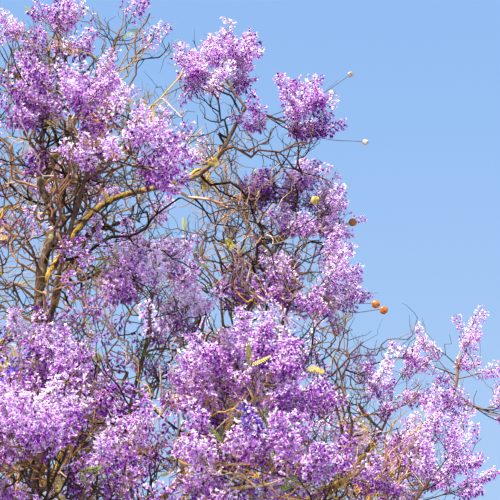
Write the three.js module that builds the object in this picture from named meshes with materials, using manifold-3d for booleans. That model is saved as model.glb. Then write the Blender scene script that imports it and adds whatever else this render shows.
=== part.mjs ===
// A jacaranda in full bloom, rooted in the ground: trunk, crooked limbs and boughs, and the masses of
// blossom at their tips. Millimetres, +Z up, the origin on the flat cut under the trunk at ground level.
import * as THREE from "three";
import Module from "manifold-3d";
import { mergeVertices } from "three/addons/utils/BufferGeometryUtils.js";

const wasm = await Module();
wasm.setup();

// Trunk
const TRUNK_TOP = [-380, 20, 2350];
const TRUNK_RADIUS = 125;
const TRUNK_TOP_RADIUS = 88;
const FLARE_RADIUS = 95;
const FLARE_HEIGHT = 190;
const FLARE_LOBES = 5;
const FLARE_LOBE_DEPTH = 0.16;
const TRUNK_SIDES = 15;
const TRUNK_STEPS = 12;

// Limbs and boughs
const LIMB_SIDES = 6;
const RING_STEP = 300;
const BEND_STEP = 620;
const TIP_RADIUS = 12;
const PIPE_RADIUS = 17;
const PIPE_POWER = 0.5;
const STOUTEST = 0.86;
const LIMB_TAPER = 0.85;
const COLLAR = 1.3;
const CROOK = 0.06;
const LEAVE_REACH = 0.4;
const ARRIVE_REACH = 0.34;
const CLEAR = 0.4;

// Masses of blossom
const MASS_RADIUS = 500;
const MASS_FLATNESS = 0.74;
const SEAT = 0.86;
const HEADS = 7;
const BARE_TWIGS = 1;
const BARE_REACH = 1.3;
const STEM_SIDES = 4;
const STEM_STEPS = 2;
const STEM_CROOK = 0.05;
const STEM_END = 8;
const TWIG_RADIUS = 4.8;
const TWIG_END = 2.6;
const TWIG_STEPS = 2;
const TWIG_CROOK = 0.07;
const HEAD_LENGTH = 290;
const HEAD_RADIUS = 136;
const TRIES = 4;
const KEEP_OFF = 22;
const SAMPLE_STEP = 40;
const GOLDEN_TURN = Math.PI * (3 - Math.sqrt(5));

// Seed pods
const POD_RADIUS = 28;
const POD_THICKNESS = 13;
const POD_STALK = 3;

// The side of the crown that is best known: each limb's name, what it springs from, at what share of
// that, its tip, the turn of the fork there and how far each mass on it tilts from the limb's own way,
// in degrees, the masses' size and the share of their twigs in bloom.
const SHOWN = [
  ["leader", "trunk", 0.98, [-100, 130, 6420], [-160, 10, 85], 0.74, 1],
  ["diagonal_bough", "leader", 0.58, [1320, 0, 6240], [-5, -60, 85], 0.62, 1],
  ["crest_bough", "leader", 0.82, [310, 350, 6710], [0, 0], 0.6, 0.3],
  ["upper_front_bough", "leader", 0.44, [320, -1000, 5540], [25, -50, 85], 0.74, 1],
  ["upper_back_bough", "leader", 0.5, [140, 1210, 5710], [-65, 90, -25], 0.8, 0.8],
  ["right_limb", "trunk", 0.86, [1640, 300, 4900], [-70, -85, 85], 0.7, 1],
  ["shoulder_bough", "right_limb", 0.62, [1600, 400, 5460], [-60, -15, 85], 0.54, 1],
  ["low_right_limb", "trunk", 0.74, [2700, -230, 4060], [-40, -25, 85], 0.68, 0.9],
  ["slender_bough", "low_right_limb", 0.6, [2260, 180, 3940], [-160, 15, 85], 0.64, 0.8],
  ["low_front_bough", "low_right_limb", 0.4, [2250, -760, 3140], [0, 0], 0.86, 1],
  ["front_right_limb", "trunk", 0.8, [1180, -1100, 3500], [-25, -5, 70], 1, 1],
  ["inner_bough", "front_right_limb", 0.45, [660, -420, 4430], [0, 0], 0.74, 1],
  ["front_left_limb", "trunk", 0.9, [80, -1330, 3470], [-25, -30, 70], 1, 1],
  ["skirt_bough", "front_left_limb", 0.5, [250, -1390, 2950], [0, 0], 1, 1],
  ["back_right_limb", "trunk", 0.83, [1510, 1650, 3950], [155, -75, 40], 1.05, 1],
  ["back_limb", "trunk", 0.77, [-390, 2010, 4130], [100, -85, 10], 1.1, 1],
];

// The far side, by rule: tiers of limbs from one bearing to another, in degrees from +X towards +Y.
const FAR_TIERS = [
  { name: "far_low", from: "trunk", at: 0.8, count: 3, start: 130, stop: 226, reach: 2250, height: 3650 },
  { name: "far_high", from: "leader", at: 0.34, count: 2, start: 150, stop: 230, reach: 1450, height: 5150 },
];
const FAR_SIZE = 1.15;
const FAR_RISE = 160;
const FAR_TWIST = 35;
const FAR_SPREAD = 50;

// Pods at the ends of bare stalks: the mass, the bearing and lift in degrees from its centre, and the
// reach as a share of its radius.
const PODS = [
  ["right_limb_2", -6, -14, 1.16],
  ["right_limb_2", 4, -15, 1.34],
  ["shoulder_bough_2", 0, 0, 0.94],
  ["shoulder_bough_2", -90, 20, 0.9],
  ["diagonal_bough_2", 6, 39, 1.9],
  ["diagonal_bough_2", -8, -17, 1.84],
  ["far_low_2_1", 160, -20, 1.1],
  ["back_limb_1", 70, -10, 1.1],
];

const UP = new THREE.Vector3(0, 0, 1);
const BARK = new THREE.MeshStandardMaterial({ color: 0x6f5645, roughness: 0.9, metalness: 0 });
const BLOSSOM = new THREE.MeshStandardMaterial({ color: 0xa578cf, roughness: 0.6, metalness: 0 });

// Seeded draws from 0 to 1, the same on every run.
function draws(seed) {
  let state = (seed * 7919 + 12345) >>> 0;
  return () => {
    state = (Math.imul(state, 1664525) + 1013904223) >>> 0;
    return state / 4294967296;
  };
}

const mixed = (a, b, share) => a.clone().lerp(b, share);
const towards = (a, b) => b.clone().sub(a).normalize();

// A crooked curve from start to tip. It leaves and arrives along the given directions, is thrown aside
// at its bends and runs smoothly between them.
function crookedCurve(start, leave, tip, arrive, bends, steps, crook, draw) {
  const span = start.distanceTo(tip);
  const curve = new THREE.CubicBezierCurve3(
    start,
    start.clone().addScaledVector(leave, span * LEAVE_REACH),
    tip.clone().addScaledVector(arrive, -span * ARRIVE_REACH),
    tip,
  );
  const points = curve.getPoints(bends);
  for (const point of points.slice(1, -1)) {
    const shift = new THREE.Vector3(draw() - 0.5, draw() - 0.5, draw() - 0.5);
    point.addScaledVector(shift, 2 * crook * span);
  }
  return new THREE.CatmullRomCurve3(points, false, "catmullrom", 0.5).getPoints(steps);
}

// The point, radius and direction at a share of a path's length in steps.
function placeOn(path, share) {
  const place = share * (path.points.length - 1);
  const i = Math.min(Math.floor(place), path.points.length - 2);
  return {
    point: mixed(path.points[i], path.points[i + 1], place - i),
    radius: THREE.MathUtils.lerp(path.radii[i], path.radii[i + 1], place - i),
    direction: towards(path.points[i], path.points[i + 1]),
  };
}

// A side axis for each point of a path, carried on from one to the next without twist.
function sidesOf(points) {
  const last = points.length - 1;
  const tangents = points.map((_, i) => towards(points[Math.max(i - 1, 0)], points[Math.min(i + 1, last)]));
  let side = Math.abs(tangents[0].z) > 0.9 ? new THREE.Vector3(1, 0, 0) : UP;
  return tangents.map((tangent) => {
    side = side.clone().addScaledVector(tangent, -side.dot(tangent)).normalize();
    return { tangent, side, other: new THREE.Vector3().crossVectors(tangent, side) };
  });
}

// A closed tapering tube along a path: a cylinder whose rings are carried to the path's points. With grow
// it is that much larger all round, and longer at both ends.
function tube(path, sides, grow = 0, lobe = () => 1) {
  const steps = path.points.length - 1;
  const frames = path.frames ?? sidesOf(path.points);
  const geometry = new THREE.CylinderGeometry(1, 1, 1, sides, steps);
  const position = geometry.attributes.position;
  for (let i = 0; i < position.count; i++) {
    const ring = Math.round((0.5 - position.getY(i)) * steps);
    const [x, z] = [position.getX(i), position.getZ(i)];
    const radius = (path.radii[ring] + grow) * lobe(Math.atan2(z, x), path.points[ring].z);
    const beyond = ring === steps ? grow : ring ? 0 : -grow;
    const placed = path.points[ring]
      .clone()
      .addScaledVector(frames[ring].tangent, beyond)
      .addScaledVector(frames[ring].side, x * radius)
      .addScaledVector(frames[ring].other, z * radius);
    position.setXYZ(i, placed.x, placed.y, placed.z);
  }
  return geometry;
}

// A geometry as a solid that can be joined and cut.
function solidOf(geometry) {
  geometry.deleteAttribute("normal");
  geometry.deleteAttribute("uv");
  const merged = mergeVertices(geometry, 1e-3);
  const mesh = new wasm.Mesh({
    numProp: 3,
    vertProperties: merged.attributes.position.array,
    triVerts: new Uint32Array(merged.index.array),
  });
  return new wasm.Manifold(mesh);
}

// A solid as a named mesh.
function meshOf(name, solid, material) {
  const made = solid.getMesh();
  const geometry = new THREE.BufferGeometry();
  geometry.setAttribute("position", new THREE.BufferAttribute(new Float32Array(made.vertProperties), 3));
  geometry.setIndex(new THREE.BufferAttribute(new Uint32Array(made.triVerts), 1));
  geometry.computeVertexNormals();
  const mesh = new THREE.Mesh(geometry, material);
  mesh.name = name;
  return mesh;
}

// The trunk rises from its flat cut with a lobed root flare, and leans to its fork.
function makeTrunk() {
  const top = new THREE.Vector3(...TRUNK_TOP);
  const curve = new THREE.CubicBezierCurve3(
    new THREE.Vector3(),
    new THREE.Vector3(0, 0, TRUNK_TOP[2] * 0.3),
    new THREE.Vector3(TRUNK_TOP[0] * 0.95, -TRUNK_TOP[1] * 2, TRUNK_TOP[2] * 0.66),
    top,
  );
  const points = [];
  for (let i = 0; i <= TRUNK_STEPS; i++) points.push(curve.getPoint((i / TRUNK_STEPS) ** 1.35));
  const radii = points.map((p) => {
    const share = p.z / TRUNK_TOP[2];
    const stem = THREE.MathUtils.lerp(TRUNK_RADIUS, TRUNK_TOP_RADIUS, share ** 0.8);
    return stem + FLARE_RADIUS * Math.exp(-p.z / FLARE_HEIGHT);
  });
  const frames = sidesOf(points);
  frames[0] = { tangent: UP, side: new THREE.Vector3(1, 0, 0), other: new THREE.Vector3(0, 1, 0) };
  return { name: "trunk", points, radii, frames };
}

const flareLobe = (angle, height) =>
  1 + FLARE_LOBE_DEPTH * Math.cos(FLARE_LOBES * angle) * Math.exp(-height / (1.6 * FLARE_HEIGHT));

// One row for each limb of the far side, worked out from the tiers.
function farRows() {
  return FAR_TIERS.flatMap((tier) =>
    Array.from({ length: tier.count }, (_, i) => {
      const share = i / (tier.count - 1);
      const bearing = THREE.MathUtils.degToRad(THREE.MathUtils.lerp(tier.start, tier.stop, share));
      const height = tier.height + FAR_RISE * (i % 2);
      const tip = [tier.reach * Math.cos(bearing), tier.reach * Math.sin(bearing), height];
      const fork = [FAR_TWIST * (i + 1), -FAR_SPREAD, FAR_SPREAD];
      return [`${tier.name}_${i + 1}`, tier.from, tier.at + 0.05 * i, tip, fork, FAR_SIZE, 1];
    }),
  );
}

// How many masses a limb carries in all, with those of the boughs that spring from it.
function carried(name, rows) {
  return rows.reduce((sum, [own, from, , , fork]) => {
    if (own === name) return sum + fork.length - 1;
    return from === name ? sum + carried(own, rows) : sum;
  }, 0);
}

// Every limb and bough as a path, from the one that it springs from to its tip.
function makeLimbs(trunk, rows) {
  const limbs = new Map([["trunk", trunk]]);
  rows.forEach(([name, from, at, tipPlace, fork, size, bloom], number) => {
    const draw = draws(number + 1);
    const place = placeOn(limbs.get(from), at);
    const tip = new THREE.Vector3(...tipPlace);
    const span = place.point.distanceTo(tip);
    const out = towards(place.point, tip);
    const leave = mixed(out, from === "trunk" ? UP : place.direction, 0.35).normalize();
    const arrive = mixed(out, UP, 0.42).normalize();
    const steps = Math.max(3, Math.round(span / RING_STEP));
    const bends = Math.max(2, Math.round(span / BEND_STEP));
    const points = crookedCurve(place.point, leave, tip, arrive, bends, steps, CROOK, draw);
    const base = Math.min(PIPE_RADIUS * carried(name, rows) ** PIPE_POWER, place.radius * STOUTEST);
    const radii = points.map((_, i) => THREE.MathUtils.lerp(TIP_RADIUS, base, (1 - i / steps) ** LIMB_TAPER));
    radii[0] *= COLLAR;
    limbs.set(name, { name, points, radii, arrive, fork, size, bloom });
  });
  return limbs;
}

// The masses round each limb's tip: one goes straight on, and two stand on the arms of a fork.
function makeMasses(limbs) {
  const masses = [];
  for (const limb of limbs.values()) {
    if (limb.name === "trunk") continue;
    const tip = limb.points.at(-1);
    const [turn, ...tilts] = limb.fork.map(THREE.MathUtils.degToRad);
    const side = new THREE.Vector3().crossVectors(UP, limb.arrive).normalize();
    side.applyAxisAngle(limb.arrive, turn);
    const radius = MASS_RADIUS * limb.size;
    for (const [i, tilt] of tilts.entries()) {
      const way = limb.arrive.clone().applyAxisAngle(side, tilt);
      const centre = tip.clone().addScaledVector(way, radius * SEAT + 40);
      const number = masses.length;
      const name = `${limb.name}_${i + 1}`;
      const leave = mixed(limb.arrive, way, 0.75).normalize();
      const arrive = mixed(way, UP, 0.3).normalize();
      const draw = draws(100 + number);
      const points = crookedCurve(tip, leave, centre, arrive, STEM_STEPS, STEM_STEPS, STEM_CROOK, draw);
      const start = TIP_RADIUS * (tilts.length > 1 ? 0.8 : 0.95);
      const radii = points.map((_, step) => THREE.MathUtils.lerp(start, STEM_END, step / STEM_STEPS));
      masses.push({ name, limb, way, radius, centre, number, stem: { points, radii } });
    }
  }
  return masses;
}

// Points with radii all along a path, for telling whether a twig would touch it.
function samplesOf(path, owner) {
  const samples = [];
  for (let i = 0; i + 1 < path.points.length; i++) {
    const [a, b] = [path.points[i], path.points[i + 1]];
    const count = Math.max(1, Math.ceil(a.distanceTo(b) / SAMPLE_STEP));
    for (let k = 0; k < count; k++) {
      const radius = THREE.MathUtils.lerp(path.radii[i], path.radii[i + 1], k / count);
      samples.push({ point: mixed(a, b, k / count), radius, owner });
    }
  }
  samples.push({ point: path.points.at(-1), radius: path.radii.at(-1), owner });
  return samples;
}

// Whether a point with this radius lies inside a mass's own space, which flat walls part from the rest.
function inOwnSpace(point, radius, mass, masses) {
  return masses.every((other) => {
    if (other === mass) return true;
    const gap = other.centre.distanceTo(mass.centre);
    const far = point.distanceToSquared(other.centre) - other.radius ** 2;
    const near = point.distanceToSquared(mass.centre) - mass.radius ** 2;
    return (far - near) / (2 * gap) > radius + 1;
  });
}

function isFree(samples, mass, masses, obstacles) {
  return samples.every(({ point, radius }) => {
    if (!inOwnSpace(point, radius, mass, masses)) return false;
    const reach = radius + KEEP_OFF;
    return obstacles.every((o) => o.owner === mass || o.point.distanceTo(point) > o.radius + reach);
  });
}

// The place of head number i on a mass: spread by the golden turn over its upper and outer face.
function headPlace(mass, i, count, draw) {
  const lift = 1 - (1.5 * (i + 0.5)) / count;
  const turn = i * GOLDEN_TURN + draw() * 0.6;
  const flat = Math.sqrt(1 - lift * lift);
  const reach = mass.radius * (0.54 + 0.38 * Math.sqrt(draw()));
  const place = new THREE.Vector3(Math.cos(turn) * flat, Math.sin(turn) * flat, lift * MASS_FLATNESS);
  return mass.centre.clone().addScaledVector(place, reach);
}

// A twig from a share of the mass's stem to a place, turned upwards at its end.
function twigPath(mass, at, place, radius, draw) {
  const foot = placeOn(mass.stem, at);
  const out = towards(foot.point, place);
  const leave = mixed(out, foot.direction, 0.4).normalize();
  const arrive = mixed(out, UP, 0.45).normalize();
  const points = crookedCurve(foot.point, leave, place, arrive, TWIG_STEPS, TWIG_STEPS, TWIG_CROOK, draw);
  const radii = points.map((_, i) => THREE.MathUtils.lerp(radius, TWIG_END, i / TWIG_STEPS));
  return { points, radii, arrive };
}

// A head of blossom: an eight-faced spindle along its twig's end.
function headSolid(place, way, size) {
  const geometry = new THREE.OctahedronGeometry(1, 0);
  geometry.scale(HEAD_RADIUS * size, HEAD_RADIUS * size, (HEAD_LENGTH * size) / 2);
  geometry.applyQuaternion(new THREE.Quaternion().setFromUnitVectors(UP, way));
  geometry.translate(place.x, place.y, place.z);
  return geometry;
}

// The points that stand for a head when its room is tested: its corners and its thick middle.
function headSamples(head, place, size) {
  const position = head.attributes.position;
  const corners = Array.from({ length: position.count }, (_, i) => ({
    point: new THREE.Vector3().fromBufferAttribute(position, i),
    radius: 0,
  }));
  return [...corners, { point: place, radius: HEAD_RADIUS * size * 0.85 }];
}

// A pod is a round flat capsule at the end of its stalk.
function podSolid(place, way) {
  const centre = place.clone().addScaledVector(way, POD_RADIUS * 0.8);
  const geometry = new THREE.SphereGeometry(POD_RADIUS, 7, 4);
  geometry.scale(1, POD_THICKNESS / POD_RADIUS, 1);
  geometry.translate(centre.x, centre.y, centre.z);
  return solidOf(geometry);
}

// Grows one mass: its stem, the twigs that end in heads of blossom, bare twigs and pods.
function growMass(mass, masses, obstacles) {
  const draw = draws(1000 + mass.number);
  const pieces = [solidOf(tube(mass.stem, STEM_SIDES))];
  const count = Math.round(HEADS * (0.55 + 0.45 * mass.limb.size));
  for (let i = 0; i < count + BARE_TWIGS; i++) {
    const isHead = i < count;
    for (let attempt = 0; attempt < TRIES; attempt++) {
      const place = headPlace(mass, isHead ? i : 1, count, draw);
      if (!isHead) place.sub(mass.centre).multiplyScalar(BARE_REACH).add(mass.centre);
      const twig = twigPath(mass, 0.94 - (0.62 * i) / (count + BARE_TWIGS), place, TWIG_RADIUS, draw);
      const size = (0.8 + 0.35 * draw()) * (0.6 + 0.4 * mass.limb.size);
      const way = mixed(twig.arrive, towards(mass.centre, place), 0.4).normalize();
      const head = headSolid(place, way, draw() < mass.limb.bloom ? size : size * 0.45);
      const samples = [...samplesOf(twig, mass), ...(isHead ? headSamples(head, place, size) : [])];
      if (!isFree(samples, mass, masses, obstacles)) continue;
      pieces.push(solidOf(tube(twig, 3)));
      if (isHead) pieces.push(solidOf(head));
      break;
    }
  }
  for (const [, bearing, lift, reach] of PODS.filter(([name]) => name === mass.name)) {
    const [turn, rise] = [bearing, lift].map(THREE.MathUtils.degToRad);
    const way = new THREE.Vector3(Math.cos(turn), Math.sin(turn), Math.tan(rise)).normalize();
    const place = mass.centre.clone().addScaledVector(way, mass.radius * reach);
    const stalk = twigPath(mass, 0.6, place, POD_STALK, draw);
    pieces.push(solidOf(tube(stalk, 3)), podSolid(place, way));
  }
  return wasm.Manifold.union(pieces);
}

function limbSolid(limb, grow = 0) {
  if (limb.name === "trunk") return solidOf(tube(limb, TRUNK_SIDES, grow, flareLobe));
  return solidOf(tube(limb, LIMB_SIDES, grow));
}

// The largest of a solid's separate bodies.
function largestBody(solid) {
  const bodies = solid.decompose();
  return bodies.reduce((best, body) => (body.volume() > best.volume() ? body : best));
}

function build() {
  const tree = new THREE.Group();
  const trunk = makeTrunk();
  const limbs = makeLimbs(trunk, [...SHOWN, ...farRows()]);
  const masses = makeMasses(limbs);

  const earlier = [];
  for (const limb of limbs.values()) {
    let solid = limbSolid(limb);
    for (const other of earlier) solid = solid.subtract(other);
    tree.add(meshOf(limb.name, largestBody(solid), BARK));
    limb.grown = limbSolid(limb, CLEAR);
    earlier.push(limb.grown);
  }

  const obstacles = [...limbs.values()].flatMap((limb) => samplesOf(limb, limb));
  obstacles.push(...masses.flatMap((mass) => samplesOf(mass.stem, mass)));
  for (const mass of masses) {
    let solid = growMass(mass, masses, obstacles).subtract(mass.limb.grown);
    for (const other of masses) {
      if (other.limb === mass.limb && other.number < mass.number) solid = solid.subtract(other.grownStem);
    }
    mass.grownStem = solidOf(tube(mass.stem, STEM_SIDES, CLEAR));
    tree.add(meshOf(`blossom_${mass.name}`, largestBody(solid), BLOSSOM));
  }
  return tree;
}

export default build();
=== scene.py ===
# %% [markdown]
# # A jacaranda in full bloom
#
# The tree stands rooted in the ground. A grey-brown trunk forks into crooked limbs, and every limb ends
# in one or two masses of blossom. In bloom the tree has hardly any leaves: what shows is violet flower
# heads, bare crooked twigs and a few round pods. Everything here grows from the same few named sizes by
# the same seeded rule, so that bark, twigs and blossom meet without any fitting. Units are metres.

# %% The frame
import math

import bmesh
import bpy
import numpy as np
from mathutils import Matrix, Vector, noise


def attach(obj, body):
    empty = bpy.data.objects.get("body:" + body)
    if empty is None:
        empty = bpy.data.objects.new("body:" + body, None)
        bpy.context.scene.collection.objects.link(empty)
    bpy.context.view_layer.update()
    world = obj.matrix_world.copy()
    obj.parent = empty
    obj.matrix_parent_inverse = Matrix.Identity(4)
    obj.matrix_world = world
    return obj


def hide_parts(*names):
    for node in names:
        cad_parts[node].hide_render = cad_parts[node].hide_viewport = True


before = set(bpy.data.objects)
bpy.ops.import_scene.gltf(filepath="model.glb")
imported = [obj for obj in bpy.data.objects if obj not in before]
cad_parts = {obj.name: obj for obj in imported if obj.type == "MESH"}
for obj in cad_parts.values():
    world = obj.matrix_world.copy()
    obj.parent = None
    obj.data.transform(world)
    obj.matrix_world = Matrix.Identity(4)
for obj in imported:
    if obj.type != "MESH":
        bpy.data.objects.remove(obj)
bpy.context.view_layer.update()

# %% [markdown]
# ## Camera
#
# The crown is seen from below and from far off, as one looks up at a tree from across a garden, so the
# lens is long. It could be given in millimetres, but the width of the view at the tree is easier to
# measure, so the lens follows from that width and from the distance.

# %% Camera
AIM = Vector((1.35, 0.0, 5.185))
CAMERA_DISTANCE = 12.3
CAMERA_RISE = math.radians(15)
VIEW_WIDTH = 3.5
SENSOR_WIDTH = 36.0
FARTHEST_SEEN = 2000.0


def placed(name, data):
    """A new object with this data, in the scene."""
    thing = bpy.data.objects.new(name, data)
    bpy.context.collection.objects.link(thing)
    return thing


def make_camera():
    data = bpy.data.cameras.new("camera")
    data.sensor_width = SENSOR_WIDTH
    data.lens = SENSOR_WIDTH * CAMERA_DISTANCE / VIEW_WIDTH
    data.clip_end = FARTHEST_SEEN
    back = Vector((0.0, -math.cos(CAMERA_RISE), -math.sin(CAMERA_RISE)))
    camera = placed("camera", data)
    camera.location = AIM + back * CAMERA_DISTANCE
    camera.rotation_euler = (-back).to_track_quat("-Z", "Y").to_euler()
    bpy.context.scene.camera = camera


make_camera()
print("camera", tuple(round(c, 2) for c in bpy.context.scene.camera.location))

# %% [markdown]
# ## Light
#
# A clear day has one strong light, the sun, and one weak one, the blue sky that fills the shadows. An
# area lamp would stand so near to a tall tree that it lit its top more than its foot. A sun lamp is even
# over the whole tree, its wide angle softens the shadows, and from the upper left it models the heads.

# %% Light
SUN_WAY = Vector((0.36, 0.36, -0.86))
SUN_STRENGTH = 12.0
SUN_ANGLE = math.radians(9)
SUN_COLOUR = (1.0, 0.93, 0.84)


def make_light():
    sun = bpy.data.lights.new("sun", "SUN")
    sun.energy = SUN_STRENGTH
    sun.angle = SUN_ANGLE
    sun.color = SUN_COLOUR
    placed("sun", sun).rotation_euler = SUN_WAY.to_track_quat("-Z", "Y").to_euler()


make_light()
bpy.context.scene.view_settings.view_transform = "Standard"
print("one sun,", round(math.degrees(SUN_ANGLE)), "degrees wide")

# %% [markdown]
# ## Nodes as Python
#
# Shader and geometry trees are both graphs of nodes. They could be linked one by one, but then a short
# sum fills a page. One small class wraps a node's output, so that sums on it can be written as plain
# expressions, and another adds a node with its settings and inputs. Each material stays short.

# %% A node's output
class Socket:
    """A node's output. Sums on it add Math nodes."""

    def __init__(self, graph, socket):
        self.graph = graph
        self.socket = socket

    def maths(self, operation, *values):
        return self.graph.node("ShaderNodeMath", {"operation": operation}, dict(enumerate(values)))

    def __add__(self, other):
        return self.maths("ADD", self, other)

    def __radd__(self, other):
        return self.maths("ADD", other, self)

    def __sub__(self, other):
        return self.maths("SUBTRACT", self, other)

    def __rsub__(self, other):
        return self.maths("SUBTRACT", other, self)

    def __mul__(self, other):
        return self.maths("MULTIPLY", self, other)

    def __rmul__(self, other):
        return self.maths("MULTIPLY", other, self)

    def over(self, low, high):
        """0 up to low, 1 from high, and smooth between them."""
        inputs = {"Value": self, "From Min": low, "From Max": high}
        return self.graph.node("ShaderNodeMapRange", {"interpolation_type": "SMOOTHSTEP"}, inputs)


print("a socket takes +, - and * from both sides")


# %% A tree and its nodes
class Graph:
    """Adds nodes to a tree."""

    def __init__(self, tree):
        self.tree = tree

    def node(self, kind, settings=None, inputs=None, output=0):
        """One node: its settings first, then the values or links of its inputs. Gives one output."""
        made = self.tree.nodes.new(kind)
        for name, value in (settings or {}).items():
            setattr(made, name, value)
        for name, value in (inputs or {}).items():
            if isinstance(value, Socket):
                self.feed(made, name, value)
            else:
                made.inputs[name].default_value = value
        return Socket(self, made.outputs[output])

    def feed(self, node, name, value):
        """Links a result to an input of a node."""
        self.tree.links.new(value.socket, node.inputs[name])

    def mix(self, share, first, second):
        """A colour between two others."""
        return self.node("ShaderNodeMix", {"data_type": "RGBA"}, {0: share, 6: first, 7: second}, output=2)

    def place(self):
        """Where on the tree a point is, in metres."""
        return self.node("ShaderNodeTexCoord", output=3)

    def noise(self, place, scale, detail):
        """Noise about 0.5, with so many waves to a metre."""
        return self.node("ShaderNodeTexNoise", {}, {"Vector": place, "Scale": scale, "Detail": detail})


print("a graph has", ", ".join(name for name in vars(Graph) if name[0] != "_"))

# %% [markdown]
# ## Materials
#
# Every finish here is dry and dull, so one shader with little gloss serves them all. Bark, pods and floor
# get a pattern. Twigs, flowers and leaves are far too small for one: each has a plain colour, and the
# play of colours comes from dealing several of them out. Among twigs and flowers, some of these colours
# are painted sunlight and painted shade.


# %% Materials
def colour(red, green, blue):
    """A colour given as it looks on a screen, 0 to 255, as the linear values that shaders use."""
    parts = np.array([red, green, blue]) / 255
    linear = np.where(parts <= 0.04045, parts / 12.92, ((parts + 0.055) / 1.055) ** 2.4)
    return (*linear.tolist(), 1.0)


def new_material(name, roughness, specular=0.5):
    """A material, the graph of its tree and its shader node."""
    material = bpy.data.materials.new(name)
    material.use_nodes = True
    shader = material.node_tree.nodes["Principled BSDF"]
    shader.inputs["Roughness"].default_value = roughness
    shader.inputs["Specular IOR Level"].default_value = specular
    return material, Graph(material.node_tree), shader


def plain_material(name, shade, roughness):
    material, _, shader = new_material(name, roughness, specular=0.25)
    shader.inputs["Base Color"].default_value = shade
    return material


print("a middle grey of 128 is", round(colour(128, 128, 128)[0], 3), "in a shader")

# %% [markdown]
# ## Floor and sky
#
# The tree stands on a plain pale floor, so wide that its edge is never near. The sky is paler low down,
# as it is on a clear day. Clouds would light the tree unevenly, so two blues mixed by height are all that
# it has, and they also give the soft light in the shadows.

# %% Floor
FLOOR_RADIUS = 400.0
FLOOR_SIDES = 96
FLOOR_SHADES = (colour(130, 132, 136), colour(138, 140, 144))
FLOOR_GRAIN = 0.6


def floor_material():
    material, graph, shader = new_material("pale_floor", roughness=0.9)
    grain = graph.noise(graph.place(), FLOOR_GRAIN, detail=3.0)
    graph.feed(shader, "Base Color", graph.mix(grain, *FLOOR_SHADES))
    return material


def make_floor():
    turns = np.linspace(0, 2 * math.pi, FLOOR_SIDES, endpoint=False)
    ring = [(FLOOR_RADIUS * math.cos(t), FLOOR_RADIUS * math.sin(t), 0.0) for t in turns]
    mesh = bpy.data.meshes.new("floor")
    mesh.from_pydata(ring, [], [range(FLOOR_SIDES)])
    mesh.materials.append(floor_material())
    placed("floor", mesh)


make_floor()
print("floor reaches", FLOOR_RADIUS, "m each way")

# %% Sky
LOW_SKY = (0.42, 0.62, 0.93, 1.0)
HIGH_SKY = (0.3, 0.52, 0.905, 1.0)
SKY_RISE = (0.1, 0.4)


def make_sky():
    world = bpy.data.worlds.new("sky")
    world.use_nodes = True
    graph = Graph(world.node_tree)
    way = graph.node("ShaderNodeTexCoord", output=0)
    height = graph.node("ShaderNodeSeparateXYZ", {}, {"Vector": way}, output=2)
    shade = graph.mix(height.over(*SKY_RISE), LOW_SKY, HIGH_SKY)
    graph.feed(world.node_tree.nodes["Background"], "Color", shade)
    bpy.context.scene.world = world


make_sky()
print("sky turns from", LOW_SKY[:3], "to", HIGH_SKY[:3])

# %% [markdown]
# ## The rule of growth
#
# A jacaranda's limbs never run straight: each year's shoot stops in a flower head and the next one
# breaks out sideways. They could be modelled by hand, but then neither twigs nor solids would follow
# them. The rule here is a smooth curve that is thrown aside at a few bends, with a seeded draw for each
# throw. The same rule and seeds shape the solids that this tree stands in for, so the two agree limb by
# limb. Plain arrays of 64-bit numbers hold the points, because the choices have to come out alike.

# %% Seeded draws and vectors
UP = np.array([0.0, 0.0, 1.0])
EAST = np.array([1.0, 0.0, 0.0])
SEED_FACTOR = 7919
SEED_SHIFT = 12345
DRAW_FACTOR = 1664525
DRAW_SHIFT = 1013904223
DRAW_RANGE = 2**32


def draws(seed):
    """Draws from 0 to 1, the same on every run."""
    state = (seed * SEED_FACTOR + SEED_SHIFT) % DRAW_RANGE

    def draw():
        nonlocal state
        state = (state * DRAW_FACTOR + DRAW_SHIFT) % DRAW_RANGE
        return state / DRAW_RANGE

    return draw


def unit(vector):
    return vector / math.sqrt(float(vector @ vector))


def mixed(first, second, share):
    return first + (second - first) * share


def turned(vector, axis, angle):
    """A vector turned about a unit axis."""
    across = np.cross(axis, vector)
    along = axis * float(axis @ vector)
    return along + (vector - along) * math.cos(angle) + across * math.sin(angle)


print("the first draw of seed 1 is", round(draws(1)(), 4))

# %% Crooked curves
LEAVE_REACH = 0.4
ARRIVE_REACH = 0.34


def crooked_bends(start, leave, tip, arrive, bends, crook, draw):
    """The bends of a curve that leaves and arrives along the given ways."""
    span = math.dist(start, tip)
    first = start + leave * span * LEAVE_REACH
    second = tip - arrive * span * ARRIVE_REACH
    t = np.linspace(0, 1, bends + 1)[:, None]
    points = (1 - t) ** 3 * start + 3 * (1 - t) ** 2 * t * first + 3 * (1 - t) * t**2 * second + t**3 * tip
    for i in range(1, bends):
        points[i] += 2 * crook * span * np.array([draw() - 0.5, draw() - 0.5, draw() - 0.5])
    return points


def smoothed(bends, steps):
    """Points on a smooth curve through the bends, evenly spread from the first to the last."""
    padded = np.vstack([2 * bends[0] - bends[1], bends, 2 * bends[-1] - bends[-2]])
    place = np.linspace(0, len(bends) - 1, steps + 1)
    i = np.minimum(place.astype(int), len(bends) - 2)
    t = (place - i)[:, None]
    before, a, b, after = (padded[i + k] for k in range(4))
    leave, arrive = (b - before) / 2, (after - a) / 2
    square, cube = t**2, t**3
    return (
        a * (1 - 3 * square + 2 * cube)
        + b * (3 * square - 2 * cube)
        + leave * (t - 2 * square + cube)
        + arrive * (cube - square)
    )


straight = smoothed(np.outer(np.arange(4.0), UP), 6)
print("a straight row of bends stays straight to", float(np.abs(straight[:, :2]).max()), "m")


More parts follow.
